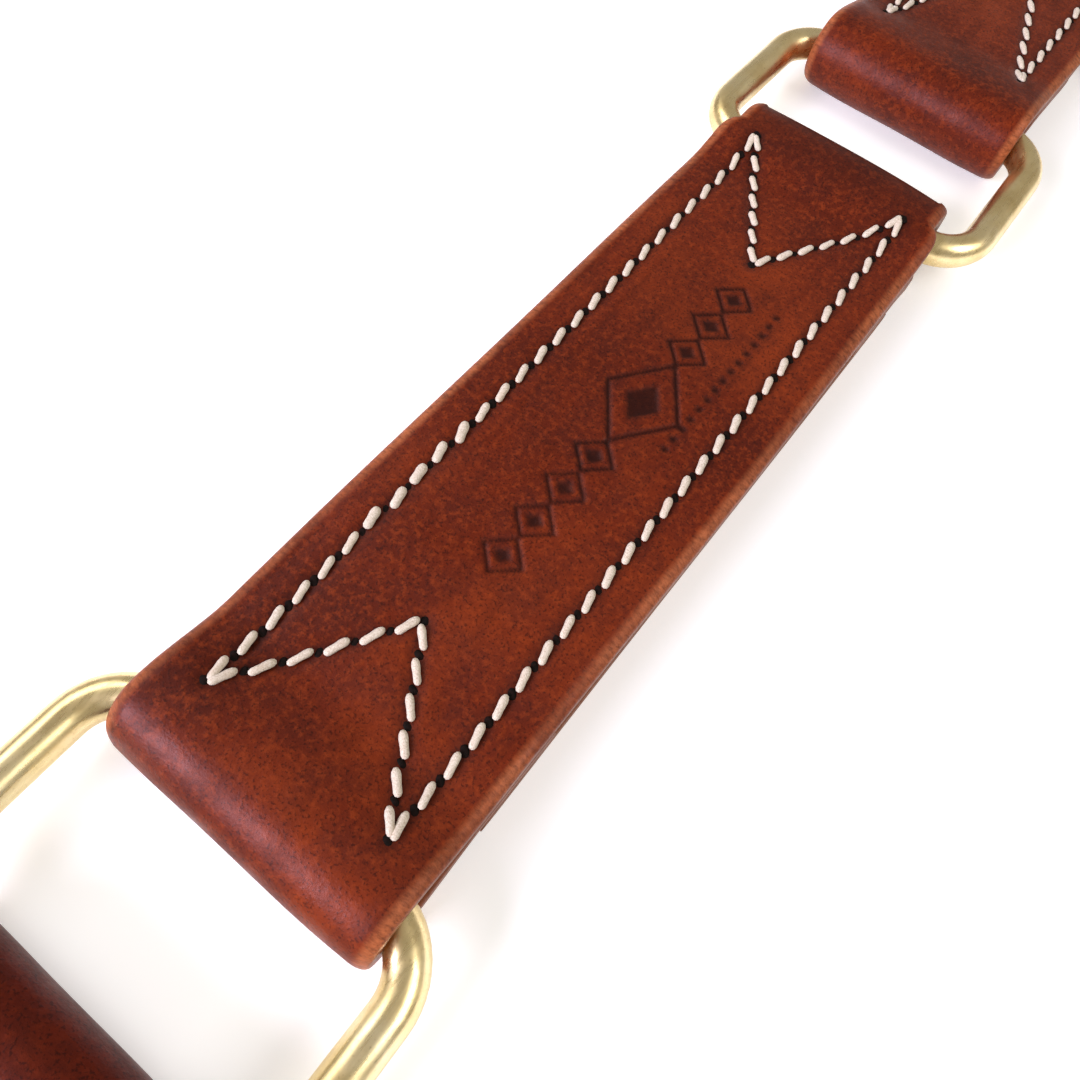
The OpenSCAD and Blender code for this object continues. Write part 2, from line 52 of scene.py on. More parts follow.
STRAP_W = 38.0
CHIN_W = 25.0
THROAT_W = 15.0
LAYER = 3.3
LOW_Z = LAYER / 2
MIDDLE_Z = 1.5 * LAYER
TOP_Z = 2.5 * LAYER
BAR_Z = 6.1
BAR_R = 2.5
FOLD_R = 4.6
SMALL_BAR_R = 2.2
RING_CORNER = 7.5
CHIN_CORNER = 5.2
RING_PLAY = 1.8
CROWN_BUCKLE_GAP = 32.0
CHIN_BUCKLE_GAP = 24.0
NOSE_END = 62.0
THROAT_LEN = 300.0
PITCH = 4.0
HOLE_PITCH = 25.0
SEAM = 12.9
SHOULDER_Y = 57.9
SHOULDER_CUT = 1.6
SHOULDER_R = 3.2
TIE_R = 30.0
TIE_BAR_R = 3.0
TAB_W = 20.0
FULL_DYE = 0.42  # depth of a dent that holds as much dye as it can
TIE_SEAT = TIE_R / 2 + math.sqrt(TIE_R * TIE_R - TAB_W * TAB_W / 4) / 2


def middle(node):
    """Middle of a CAD node's box, in millimetres."""
    low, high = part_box(node)
    return (low + high) / 2 / MM


UPPER_RING = middle("near_upper_ring")
LOWER_RING = middle("near_lower_ring")
OFF_X = middle("off_upper_ring")[0]
RING_GAP = 2 * (middle("near_lower_ring")[1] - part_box("near_lower_ring")[0][1] / MM - BAR_R)
UPPER_Y = UPPER_RING[1] - RING_GAP / 2
CHAPE_Y = UPPER_RING[1] + RING_GAP / 2
HEEL_Y = middle("near_buckle_frame")[1] - CROWN_BUCKLE_GAP / 2
NOSE_Y = middle("tie_ring")[1]
HANGER_Y = LOWER_RING[1] - RING_GAP / 2
TIE = middle("tie_ring")
THROAT_Y = UPPER_RING[1]
THROAT_X = OFF_X - STRAP_W / 2 - RING_PLAY - BAR_R
SNAP_EYE_X = THROAT_X - THROAT_LEN
DEE_X = STRAP_W / 2 + 8.0
DEE_Y = middle("throat_dee")[1]

# ---- Camera ----

CAMERA_AT = (26.0, -59.0, 103.6)
CAMERA_LOOK = (-0.2139, 0.3816, -0.8992)
CAMERA_UP = (-0.5817, 0.6898, 0.4311)
LENS = 29.2


def add_camera():
    """Camera close above the near cheekpiece, looking along it from its lower right."""
    data = bpy.data.cameras.new("camera")
    data.lens = LENS
    data.sensor_width = 36.0
    data.clip_start = 0.005
    data.dof.use_dof = False
    back = -Vector(CAMERA_LOOK).normalized()
    right = Vector(CAMERA_UP).cross(back).normalized()
    up = back.cross(right)
    turn = Matrix((right, up, back)).transposed().to_4x4()
    camera = bpy.data.objects.new("camera", data)
    camera.matrix_world = Matrix.Translation(Vector(CAMERA_AT) * MM) @ turn
    bpy.context.scene.collection.objects.link(camera)
    bpy.context.scene.camera = camera


add_camera()

# ---- Materials ----


def new_material(name):
    """An empty node material and its shader."""
    material = bpy.data.materials.new(name)
    material.use_nodes = True
    tree = material.node_tree
    tree.nodes.clear()
    out = tree.nodes.new("ShaderNodeOutputMaterial")
    shader = tree.nodes.new("ShaderNodeBsdfPrincipled")
    tree.links.new(shader.outputs["BSDF"], out.inputs["Surface"])
    return material, tree, shader


def noise(tree, scale, detail=3.0, roughness=0.55, stretch=None, distortion=0.0):
    """Noise over the piece's own coordinates. Scale is in features per metre."""
    place = tree.nodes.new("ShaderNodeTexCoord")
    node = tree.nodes.new("ShaderNodeTexNoise")
    node.inputs["Scale"].default_value = scale
    node.inputs["Detail"].default_value = detail
    node.inputs["Roughness"].default_value = roughness
    node.inputs["Distortion"].default_value = distortion
    source = place.outputs["Object"]
    if stretch:
        mapping = tree.nodes.new("ShaderNodeMapping")
        mapping.inputs["Scale"].default_value = stretch
        tree.links.new(source, mapping.inputs["Vector"])
        source = mapping.outputs["Vector"]
    tree.links.new(source, node.inputs["Vector"])
    return node.outputs["Fac"]


def ramp(tree, source, stops):
    """Colour ramp over a value."""
    node = tree.nodes.new("ShaderNodeValToRGB")
    while len(node.color_ramp.elements) < len(stops):
        node.color_ramp.elements.new(0.5)
    for element, (at, colour) in zip(node.color_ramp.elements, stops):
        element.position = at
        element.color = (*colour, 1.0)
    tree.links.new(source, node.inputs["Fac"])
    return node.outputs["Color"]


def spread(tree, source, low, high, to_low, to_high):
    """Maps a value from one range to another."""
    node = tree.nodes.new("ShaderNodeMapRange")
    for name, value in (
        ("From Min", low), ("From Max", high), ("To Min", to_low), ("To Max", to_high),
    ):
        node.inputs[name].default_value = value
    tree.links.new(source, node.inputs["Value"])
    return node.outputs["Result"]


def mix(tree, share, one, two):
    """Mixes two colours. Each is a socket or a colour, and share is a socket or a number."""
    node = tree.nodes.new("ShaderNodeMix")
    node.data_type = "RGBA"
    for socket, value in ((node.inputs[0], share), (node.inputs[6], one), (node.inputs[7], two)):
        if isinstance(value, bpy.types.NodeSocket):
            tree.links.new(value, socket)
        elif isinstance(value, tuple):
            socket.default_value = (*value, 1.0)
        else:
            socket.default_value = value
    return node.outputs[2]


def add_bumps(tree, shader, layers):
    """Chains bumps of (height, strength, distance in millimetres) onto the shader's normal."""
    last = None
    for height, strength, distance in layers:
        node = tree.nodes.new("ShaderNodeBump")
        node.inputs["Strength"].default_value = strength
        node.inputs["Distance"].default_value = distance * MM
        tree.links.new(height, node.inputs["Height"])
        if last is not None:
            tree.links.new(last, node.inputs["Normal"])
        last = node.outputs["Normal"]
    tree.links.new(last, shader.inputs["Normal"])


def attribute(tree, name):
    """A value stored on the mesh's points."""
    node = tree.nodes.new("ShaderNodeAttribute")
    node.attribute_name = name
    return node.outputs["Fac"]


def scaled(colour, by):
    """A colour made darker or brighter."""
    return tuple(by * c for c in colour)


def part_way(one, two, share):
    """A colour part of the way from one to another."""
    return tuple((1 - share) * a + share * b for a, b in zip(one, two))


def leather(name, dark, body, warm, rim, gloss=0.44):
    """Oiled bridle leather: fine mottling and pores, dye pooled in dents, and a paler fibrous bevel."""
    material, tree, shader = new_material(name)
    broad = noise(tree, 42, 2.0, 0.5, distortion=0.3)
    blotch = noise(tree, 210, 5.0, 0.62)
    grain = noise(tree, 1100, 4.0, 0.65)
    pores = noise(tree, 3000, 2.0, 0.5)
    drag = noise(tree, 420, 4.0, 0.65, stretch=(1.0, 0.2, 1.0))
    colour = ramp(tree, broad, [
        (0.3, part_way(dark, body, 0.45)), (0.5, body), (0.7, part_way(body, warm, 0.5)),
    ])
    colour = mix(tree, spread(tree, blotch, 0.42, 0.66, 0.0, 0.42), colour, dark)
    colour = mix(tree, spread(tree, grain, 0.47, 0.66, 0.0, 0.62), colour, warm)
    colour = mix(tree, spread(tree, drag, 0.5, 0.72, 0.0, 0.35), colour, dark)
    colour = mix(tree, spread(tree, pores, 0.54, 0.68, 0.0, 0.6), colour, scaled(dark, 0.3))
    pooled = spread(tree, attribute(tree, "deep"), 0.05, 0.8, 0.0, 0.88)
    colour = mix(tree, pooled, colour, scaled(dark, 0.22))
    fibre = noise(tree, 1700, 4.0, 0.75, stretch=(0.22, 1.0, 1.0))
    rim_colour = ramp(tree, fibre, [(0.32, scaled(rim, 0.4)), (0.5, rim), (0.7, scaled(rim, 1.5))])
    edge = attribute(tree, "rim")
    worn = spread(tree, noise(tree, 90, 3.0, 0.6), 0.35, 0.62, 0.35, 0.9)
    rim_share = tree.nodes.new("ShaderNodeMath")
    rim_share.operation = "MULTIPLY"
    tree.links.new(spread(tree, edge, 0.1, 0.65, 0.0, 1.0), rim_share.inputs[0])
    tree.links.new(worn, rim_share.inputs[1])
    colour = mix(tree, rim_share.outputs["Value"], colour, rim_colour)
    colour = mix(tree, spread(tree, edge, 0.84, 1.0, 0.0, 0.7), colour, scaled(rim, 0.42))
    tree.links.new(colour, shader.inputs["Base Color"])
    tree.links.new(spread(tree, blotch, 0.3, 0.7, gloss - 0.07, gloss + 0.12), shader.inputs["Roughness"])
    shader.inputs["Specular IOR Level"].default_value = 0.25
    shader.inputs["Specular Tint"].default_value = (1.0, 0.62, 0.60, 1.0)
    add_bumps(tree, shader, [
        (blotch, 0.3, 0.22), (grain, 0.4, 0.12), (pores, 0.45, 0.06), (fibre, 0.12, 0.12),
    ])
    return material


def thread_material():
    """Waxed linen thread, off-white with darker fibres."""
    material, tree, shader = new_material("linen_thread")
    fibre = noise(tree, 5200, 3.0, 0.7)
    soil = noise(tree, 420, 3.0, 0.5)
    colour = ramp(tree, fibre, [
        (0.3, (0.42, 0.33, 0.24)), (0.5, (0.60, 0.51, 0.40)), (0.7, (0.72, 0.64, 0.53)),
    ])
    colour = mix(tree, spread(tree, soil, 0.55, 0.72, 0.0, 0.3), colour, (0.62, 0.45, 0.32))
    tree.links.new(colour, shader.inputs["Base Color"])
    tree.links.new(spread(tree, fibre, 0.3, 0.7, 0.55, 0.8), shader.inputs["Roughness"])
    shader.inputs["Sheen Weight"].default_value = 0.2
    add_bumps(tree, shader, [(fibre, 0.5, 0.1)])
    return material


def brass_material():
    """Cast and tumbled brass: pale gold, satin, with faint scratches and a little tarnish."""
    material, tree, shader = new_material("satin_brass")
    cloud = noise(tree, 140, 4.0, 0.6)
    scratch = noise(tree, 1400, 3.0, 0.6, stretch=(1.0, 0.12, 1.0))
    pits = noise(tree, 3200, 2.0, 0.5)
    colour = ramp(tree, cloud, [
        (0.3, (0.72, 0.54, 0.24)), (0.5, (0.86, 0.69, 0.36)), (0.72, (0.93, 0.79, 0.48)),
    ])
    colour = mix(tree, spread(tree, pits, 0.6, 0.75, 0.0, 0.35), colour, (0.45, 0.30, 0.12))
    tree.links.new(colour, shader.inputs["Base Color"])
    shader.inputs["Metallic"].default_value = 1.0
    tree.links.new(spread(tree, scratch, 0.3, 0.7, 0.22, 0.38), shader.inputs["Roughness"])
    add_bumps(tree, shader, [(cloud, 0.15, 0.3), (scratch, 0.12, 0.05), (pits, 0.1, 0.03)])
    return material


def hole_shade_material():
    """Near-black painted shade that stands in for the dark inside of a stitch hole."""
    material, tree, shader = new_material("stitch_hole_painted_shade")
    grain = noise(tree, 2500, 2.0, 0.5)
    colour = ramp(tree, grain, [(0.35, (0.003, 0.002, 0.001)), (0.7, (0.012, 0.005, 0.004))])
    tree.links.new(colour, shader.inputs["Base Color"])
    tree.links.new(spread(tree, grain, 0.3, 0.7, 0.7, 0.95), shader.inputs["Roughness"])
    shader.inputs["Specular IOR Level"].default_value = 0.1
    return material


CHESTNUT = leather(
    "chestnut_leather", dark=(0.036, 0.0036, 0.0011), body=(0.110, 0.0122, 0.0020),
    warm=(0.215, 0.031, 0.0048), rim=(0.31, 0.088, 0.030),
)
# Painted shade: a darker copy of the chestnut leather, given to the hangers to stand in for the shade they
# lie in.
SHADED_CHESTNUT = leather(
    "shaded_chestnut_leather", dark=(0.024, 0.0016, 0.0006), body=(0.070, 0.0052, 0.0010),
    warm=(0.130, 0.0145, 0.0024), rim=(0.24, 0.062, 0.022),
)
LINING = leather(
    "lining_leather", dark=(0.08, 0.018, 0.007), body=(0.19, 0.050, 0.017),
    warm=(0.29, 0.085, 0.028), rim=(0.30, 0.10, 0.038), gloss=0.55,
)
THREAD = thread_material()
BRASS = brass_material()
# Painted shade: near-black material for the lenses that stand in for the insides of the stitch holes.
HOLE_SHADE = hole_shade_material()

# ---- Mesh helpers ----


def make_object(name, verts, faces, material, smooth=True):
    """A mesh object in millimetres, turned to metres."""
    mesh = bpy.data.meshes.new(name)
    mesh.from_pydata([tuple(v) for v in np.asarray(verts) * MM], [], [tuple(f) for f in faces])
    mesh.validate()
    mesh.update()
    if smooth:
        mesh.shade_smooth()
    mesh.materials.append(material)
    obj = bpy.data.objects.new(name, mesh)
    bpy.context.scene.collection.objects.link(obj)
    return obj


def store(obj, name, values):
    """Stores one value for each point of the mesh."""
    layer = obj.data.attributes.new(name, "FLOAT", "POINT")
    layer.data.foreach_set("value", np.asarray(values, np.float32))


def ring_faces(count, size, closed_path):
    """Quads that join a row of closed rings, with end caps where the row is open."""
    faces = []
    rows = count if closed_path else count - 1
    for i in range(rows):
        a = i * size
        b = ((i + 1) % count) * size
        for j in range(size):
            k = (j + 1) % size
            faces.append((a + j, a + k, b + k, b + j))
    if not closed_path:
        last = (count - 1) * size
        faces.append(tuple(reversed(range(size))))
        faces.append(tuple(last + j for j in range(size)))
    return faces


def place(points, at=(0.0, 0.0), way=0):
    """Turns points drawn with the strap along +Y: way 0 keeps it so, 1 lays it along +X, -1 -X and 2 -Y."""
    p = np.array(points, float)
    if way == 2:
        p[..., :2] *= -1
    elif way:
        x, y = p[..., 0].copy(), p[..., 1].copy()
        p[..., 0], p[..., 1] = way * y, -way * x
    p[..., 0] += at[0]
    p[..., 1] += at[1]
    return p


def resample(points, step, closed=False):
    """Points spaced evenly along a line in the YZ plane, with their tangents."""
    p = np.asarray(points, float)
    if closed:
        p = np.concatenate([p, p[:1]])
    run = np.concatenate([[0], np.cumsum(np.linalg.norm(np.diff(p, axis=0), axis=1))])
    count = max(2, int(round(run[-1] / step)) + 1)
    at = np.linspace(0, run[-1], count)
    q = np.stack([np.interp(at, run, p[:, k]) for k in range(2)], 1)
    if closed:
        q = q[:-1]
        tangent = np.roll(q, -1, 0) - np.roll(q, 1, 0)
    else:
        tangent = np.gradient(q, axis=0)
    tangent /= np.linalg.norm(tangent, axis=1)[:, None]
    return q, tangent


def arc(y, z, r, start, end, count=28):
    """Arc in the YZ plane, from one angle to another in degrees."""
    return [
        (y + r * math.cos(a * DEG), z + r * math.sin(a * DEG)) for a in np.linspace(start, end, count)
    ]


def full_turn(count):
    """Angles spaced evenly once round."""
    return np.linspace(0, 2 * math.pi, count + 1)[:-1]


def ease(y0, z0, y1, z1, count=14):
    """A smooth S from one height to another."""
    out = []
    for t in np.linspace(0, 1, count):
        out.append((y0 + (y1 - y0) * t, z0 + (z1 - z0) * t * t * (3 - 2 * t)))
    return out


class Strap:
    """A strap of leather that follows a line in the YZ plane, with a crowned face and bevelled edges."""

    def __init__(self, line, width, thick=LAYER, step=1.4, across=1.0, face=1,
                 relief=None, half_width=None, edge_r=1.9, wave=0.12, seed=0, crown=0.2, closed=False):
        self.line, tangents = resample(line, step, closed)
        self.normals = np.stack([-tangents[:, 1], tangents[:, 0]], 1) * face
        self.width, self.thick, self.face = width, thick, face
        self.across, self.relief = across, relief
        self.half_width, self.edge_r = half_width, edge_r
        self.wave, self.seed = wave, seed
        self.closed, self.crown = closed, crown

    def section(self):
        """The cross-section as (across, height, rim value, whether on the face), going once round."""
        half, thick, bevel_w = self.width / 2, self.thick, self.edge_r
        drop = min(0.5 * bevel_w, 0.36 * thick)
        flat = half - bevel_w
        count = max(6, int(round(2 * flat / self.across)))
        points = [(u, thick / 2, 0.0, True) for u in np.linspace(-flat, flat, count + 1)]
        bevel = []
        for a, rim in ((74, 0.25), (58, 0.6), (42, 0.75), (26, 0.78), (12, 0.82), (0, 0.9)):
            out, rise = math.cos(a * DEG) ** 1.15, math.sin(a * DEG) ** 1.1
            bevel.append((flat + bevel_w * out, thick / 2 - drop + drop * rise, rim, False))
        low = min(0.6, bevel_w)
        side = [(half, 0.0, 1.0, False)]
        for a in (0, -30, -60, -90):
            side.append((half - low + low * math.cos(a * DEG), -thick / 2 + low + low * math.sin(a * DEG),
                         1.0, False))
        under = np.linspace(half - low, -half + low, max(3, count // 4) + 1)[1:-1]
        points += bevel + side + [(u, -thick / 2, 0.6, False) for u in under]
        return points + [(-u, z, rim, on) for u, z, rim, on in reversed(bevel + side)]

    def build(self, name, at=(0.0, 0.0), way=0, material=CHESTNUT):
        """Carries the section along the line. Each point keeps how deep it is pressed, and its rim value."""
        section = self.section()
        level_u, level_v, rim = (np.array([point[k] for point in section]) for k in range(3))
        on_face = np.array([point[3] for point in section])
        full = self.width / 2
        inner = np.abs(level_u) < full - self.edge_r - 0.01
        verts, pressed = [], []
        count = len(self.line)
        pinch = {} if self.closed else {0: 0.45, 1: 0.8, count - 2: 0.8, count - 1: 0.45}
        for i, (y, z) in enumerate(self.line):
            half = self.half_width(y) if self.half_width else full
            scale = (half - self.edge_r) / (full - self.edge_r)
            u = np.where(inner, level_u * scale, np.sign(level_u) * (half - full + np.abs(level_u)))
            swell = np.clip((half - np.abs(u) - self.edge_r) / 9.0, 0, 1)
            bend = self.wave * (
                math.sin(y * 0.19 + self.seed) + 0.6 * math.sin(y * 0.43 + 2 * self.seed + 1.3)
            )
            sway = self.wave * np.sin(u * 0.21 + y * 0.11 + self.seed)
            dip = np.zeros(len(u))
            if self.relief is not None and self.normals[i][1] > 0.5:
                dip = np.where(on_face, self.relief(u, np.full(len(u), y)), 0.0)
            rise = self.crown * swell * (2 - swell) + 0.35 * bend + 0.5 * sway
            v = (level_v - dip + np.where(on_face, rise, 0.0)) * pinch.get(i, 1.0)
            shift = 0.8 * self.wave * math.sin(y * 0.083 + 3 * self.seed)
            normal_y, normal_z = self.normals[i]
            verts.append(np.stack([u + shift, y + normal_y * v, z + normal_z * v], 1))
            pressed.append(np.clip(dip / FULL_DYE, 0, 1))
        faces = ring_faces(count, len(section), self.closed)
        if self.face > 0:
            faces = [tuple(reversed(f)) for f in faces]
        obj = make_object(name, place(np.concatenate(verts), at, way), faces, material)
        store(obj, "deep", np.concatenate(pressed))
        store(obj, "rim", np.tile(rim, count))
        return obj

    def top(self, y):
        """Height of the outer face at a place along the strap, on the side that looks up."""
        up = self.normals[:, 1] > 0.35
        order = np.argsort(self.line[up][:, 0])
        face = (self.line[up] + self.normals[up] * self.thick / 2)[order]
        return float(np.interp(y, face[:, 0], face[:, 1]))


def two_turns(a, b, turn, z_in=MIDDLE_Z, z_top=TOP_Z, r=FOLD_R, r2=FOLD_R, lead=13.0):
    """Centreline of a strap with both ends turned round a bar and tucked in beneath its own face."""
    line = [(a + turn, z_in)] + ease(a + lead, z_in, a, BAR_Z - r)
    line += arc(a, BAR_Z, r, 270, 90)[1:] + ease(a, BAR_Z + r, a + lead, z_top)[1:]
    line += ease(b - lead, z_top, b, BAR_Z + r2) + arc(b, BAR_Z, r2, 90, -90)[1:]
    return line + ease(b, BAR_Z - r2, b - lead, z_in)[1:] + [(b - turn, z_in)]


def plain_half(width):
    """Half width of a plain strap, with the small unevenness of hand cutting."""
    return lambda y: width / 2 - 0.25 + 0.1 * math.sin(y * 0.17)


def tip_half(width, length, depth):
    """Half width of a strap that comes to a point at its end."""
    def half(y):
        t = min(1.0, max(0.0, (length - y) / depth))
        return max(1.3, (width / 2 - 0.25) * t ** 0.85)
    return half


# ---- Cuts through straps ----


def prism(outline, low, high):
    """An upright solid with a given plan."""
    count = len(outline)
    verts = [(x, y, z) for z in (low, high) for x, y in outline]
    faces = [(j, (j + 1) % count, (j + 1) % count + count, j + count) for j in range(count)]
    faces += [tuple(reversed(range(count))), tuple(range(count, 2 * count))]
    return np.array(verts, float), faces


def round_outline(y, r=2.45):
    """Plan of a punched hole."""
    return [(r * math.cos(a), y + r * math.sin(a)) for a in full_turn(28)]


def slot_outline(start, end, half):
    """Plan of a slot with round ends."""
    near = [(half * math.cos(a), half * math.sin(a)) for a in np.linspace(math.pi, 2 * math.pi, 13)]
    return [(x, start + half + y) for x, y in near] + [
        (half * math.cos(a), end - half + half * math.sin(a)) for a in np.linspace(0, math.pi, 13)]


def tongue_slot(heel):
    """Cutter for a tongue's slot, across the fold round a buckle's heel bar."""
    return prism(slot_outline(heel - 8.0, heel + 8.0, 3.0), -1.0, 14.0)


def hole_cutters(holes):
    """Cutters for a row of punched holes."""
    return [prism(round_outline(y), -1.0, 8.0) for y in holes]


def hole_row(last, count):
    """Places of the punched holes, from the tip's end of the row."""
    return [last - HOLE_PITCH * k for k in range(count)]


def punched(u, y, holes):
    """How far the leather is pressed down round a row of punched holes."""
    out = np.zeros(len(u))
    for hole in holes:
        away = np.hypot(u, y - hole)
        out = np.maximum(out, 0.28 * np.exp(-(((away - 2.7) / 0.55) ** 2)))
    return out


def cut(obj, parts, at, way):
    """Cuts solids out of a piece."""
    tool = join_parts(obj.name + "_cutter", parts, HOLE_SHADE, at, way)
    modifier = obj.modifiers.new("cut", "BOOLEAN")
    modifier.operation = "DIFFERENCE"
    modifier.solver = "EXACT"
    modifier.object = tool
    graph = bpy.context.evaluated_depsgraph_get()
    mesh = bpy.data.meshes.new_from_object(
        obj.evaluated_get(graph), preserve_all_data_layers=True, depsgraph=graph,
    )
    obj.modifiers.clear()
    obj.data = mesh
    bpy.data.objects.remove(tool)


def leather_piece(name, line, width, body, node, at=(0.0, 0.0), way=0, slot="chestnut", material=None,
                  cuts=(), **shape):
    """Builds a strap in place of a CAD node and lets it ride on its body."""
    strap = Strap(line, width, **shape)
    obj = strap.build(name, at, way, material or CHESTNUT)
    if cuts:
        cut(obj, cuts, at, way)
    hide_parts(node)
    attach(obj, body)
    return strap


def rounded_loop(y0, y1, z0, z1, r):
    """A rectangle with round corners in the YZ plane, drawn clockwise."""
    return (arc(y0 + r, z0 + r, r, 270, 180, 8) + arc(y0 + r, z1 - r, r, 180, 90, 8)
            + arc(y1 - r, z1 - r, r, 90, 0, 8) + arc(y1 - r, z0 + r, r, 0, -90, 8))


def keeper(name, node, body, way, thick=2.0):
    """A closed leather band in place of a CAD keeper, round a strap along Y (way 1) or along X (way 0)."""
    low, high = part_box(node)
    low, high = low / MM, high / MM
    mid, size = (low + high) / 2, high - low
    span, width = (size[0], size[1]) if way == 1 else (size[1], size[0])
    half = span / 2 - thick / 2
    loop = rounded_loop(-half, half, low[2] + thick / 2, high[2] - thick / 2, 2.0)
    leather_piece(name, loop, width - 0.3, body, node, (mid[0], mid[1]), way, thick=thick, closed=True,
                  step=0.7, across=0.7, edge_r=0.9, wave=0.06, crown=0.0, seed=mid[0] + mid[1])


# ---- Stitches ----


def capsule(start, end, radius, flat=0.72, rings=9, sides=9, twist=True):
    """A plump stitch from one point to another, slightly flattened, with the twist of its plies."""
    a, b = np.array(start, float), np.array(end, float)
    axis = b - a
    length = np.linalg.norm(axis)
    axis = axis / length
    up = np.array([0.0, 0.0, 1.0])
    side = np.cross(up, axis)
    side /= np.linalg.norm(side)
    up = np.cross(axis, side)
    verts = []
    for i in range(rings):
        t = i / (rings - 1)
        c = math.cos(math.pi * (1 - t))
        along = length * (0.5 + 0.5 * c)
        girth = radius * (1 - abs(2 * along / length - 1) ** 4.5) ** 0.5 + 0.04
        for j in range(sides):
            f = 2 * math.pi * j / sides
            ply = 1 + (0.09 * math.cos(2 * f - along * 2.6) if twist else 0.0)
            verts.append(
                a + axis * along + side * girth * ply * math.cos(f) + up * girth * ply * flat * math.sin(f)
            )
    return np.array(verts), ring_faces(rings, sides, False)


def join_parts(name, parts, material, at=(0.0, 0.0), way=0):
    """One object from several (points, faces)."""
    verts, faces, first = [], [], 0
    for v, f in parts:
        verts.append(v)
        faces += [tuple(i + first for i in g) for g in f]
        first += len(v)
    return make_object(name, place(np.concatenate(verts), at, way), faces, material)


def hole_line(start, end, count=None):
    """Stitch holes from one point to another, evenly spaced."""
    a, b = np.array(start, float), np.array(end, float)
    if count is None:
        count = max(1, int(round(np.linalg.norm(b - a) / PITCH)))
    return [tuple(a + (b - a) * k / count) for k in range(count + 1)]


def two_rows(across, start, end):
    """Two rows of stitch holes along a strap, one near each edge."""
    return [hole_line((side * across, start), (side * across, end)) for side in (1, -1)]


def stitch_axes(start, end):
    """Unit direction of a stitch, and the direction sideways to it."""
    along = np.array(end) - np.array(start)
    along /= np.linalg.norm(along)
    return along, np.array([-along[1], along[0]])


def on_top(strap):
    """Height of the stitches' middles on a strap's outer face."""
    return lambda u, y: strap.top(y) + 0.02


def sew(name, rows, height, at, way, body, replaces, thick_from=None, fine=False, radius=0.46):
    """Sews rows of holes: a slanted stitch between each two holes, and at each hole a near-black lens,
    painted shade for the awl slit.
    """
    stitches, shade_lenses = [], []
    detail = {} if fine else dict(rings=6, sides=7)
    for row in rows:
        for start, end in zip(row[:-1], row[1:]):
            along, aside = stitch_axes(start, end)
            gap = np.linalg.norm(np.array(end) - np.array(start))
            tuck, lean = 0.115 * gap, 0.1 * gap
            p = start + along * tuck - aside * lean
            q = end - along * tuck + aside * lean
            grow = 1.0 + random.uniform(-0.05, 0.06)
            lift = 0.21
            if thick_from and thick_from(start):
                grow *= 1.28
                lift = 0.294
                p = p + aside * random.uniform(-0.35, 0.35)
                q = q + aside * random.uniform(-0.35, 0.35)
            p = p + aside * random.uniform(-0.05, 0.05)
            q = q + aside * random.uniform(-0.05, 0.05)
            ends = (*p, height(*p) + lift), (*q, height(*q) + lift)
            stitches.append(capsule(*ends, radius * grow, **detail))
        # Each hole gets a near-black lens on the surface: painted shade where the awl slit would be.
        for k, hole in enumerate(row):
            first = min(k, len(row) - 2)
            along, aside = stitch_axes(row[first], row[first + 1])
            reach = along * 0.52 + aside * random.uniform(0.42, 0.58)
            z = height(*hole) - 0.2
            ends = (*(hole - reach), z), (*(hole + reach), z)
            shade_lenses.append(capsule(*ends, 0.46, flat=0.5, rings=7, sides=8, twist=False))
    thread = join_parts(name, stitches, THREAD, at, way)
    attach(thread, body)
    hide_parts(replaces)
    holes = join_parts(name + "_holes", shade_lenses, HOLE_SHADE, at, way)
    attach(holes, body)


def trough(rows, u, y, depth=0.22, wide=1.15):
    """How far the thread pulls the leather down along rows of holes."""
    out = np.zeros(len(u))
    for row in rows:
        for k in range(len(row) - 1):
            a, b = np.array(row[k]), np.array(row[k + 1])
            d = b - a
            length2 = d @ d
            if min(a[1], b[1]) - 4 > y[0] or max(a[1], b[1]) + 4 < y[0]:
                continue
            t = np.clip(((u - a[0]) * d[0] + (y - a[1]) * d[1]) / length2, 0, 1)
            away = np.hypot(u - a[0] - t * d[0], y - a[1] - t * d[1])
            pull = depth * np.exp(-((away / wide) ** 2))
            for end in (a, b):
                near = np.hypot(u - end[0], y - end[1])
                pull = np.maximum(pull, 0.34 * np.exp(-((near / 0.75) ** 2)))
            out = np.maximum(out, pull)
    return out


def sewn(rows):
    """Relief of a face that is sewn along rows of holes."""
    return lambda u, y: trough(rows, u, y)


# ---- Brass ----


def round_section(radius, sides=20):
    """Points of a round cross-section."""
    return [(radius * math.cos(2 * math.pi * j / sides), radius * math.sin(2 * math.pi * j / sides))
            for j in range(sides)]


def flat_section(width, thick, corner):
    """Points of a rectangular cross-section with round corners, thick along the first axis."""
    points = []
    for k, (sx, sy) in enumerate(((1, 1), (-1, 1), (-1, -1), (1, -1))):
        for a in (0, 30, 60, 90):
            f = (a + 90 * k) * DEG
            points.append((sx * (thick / 2 - corner) + corner * math.cos(f),
                           sy * (width / 2 - corner) + corner * math.sin(f)))
    return points


def sweep(path, section, closed=False, up=(0.0, 0.0, 1.0), grow=None, uneven=0.0):
    """Carries a cross-section along a path. The first axis of the section is up x tangent."""
    p = np.asarray(path, float)
    n = len(p)
    tangent = np.roll(p, -1, 0) - np.roll(p, 1, 0) if closed else np.gradient(p, axis=0)
    tangent /= np.linalg.norm(tangent, axis=1)[:, None]
    verts = []
    for i in range(n):
        side = np.cross(np.array(up), tangent[i])
        side /= np.linalg.norm(side)
        top = np.cross(tangent[i], side)
        size = 1.0 if grow is None else grow[i]
        for j, (s, t) in enumerate(section):
            wobble = math.sin(6 * math.pi * i / n + 1.7 * math.cos(2 * math.pi * j / len(section)))
            k = size * (1 + uneven * wobble)
            verts.append(p[i] + side * s * k + top * t * k)
    return np.array(verts), ring_faces(n, len(section), closed)


def brass_piece(name, parts, node, body, at=(0.0, 0.0), way=0):
    """One brass piece made of several swept parts, in place of a CAD node."""
    obj = join_parts(name, parts, BRASS, at, way)
    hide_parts(node)
    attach(obj, body)


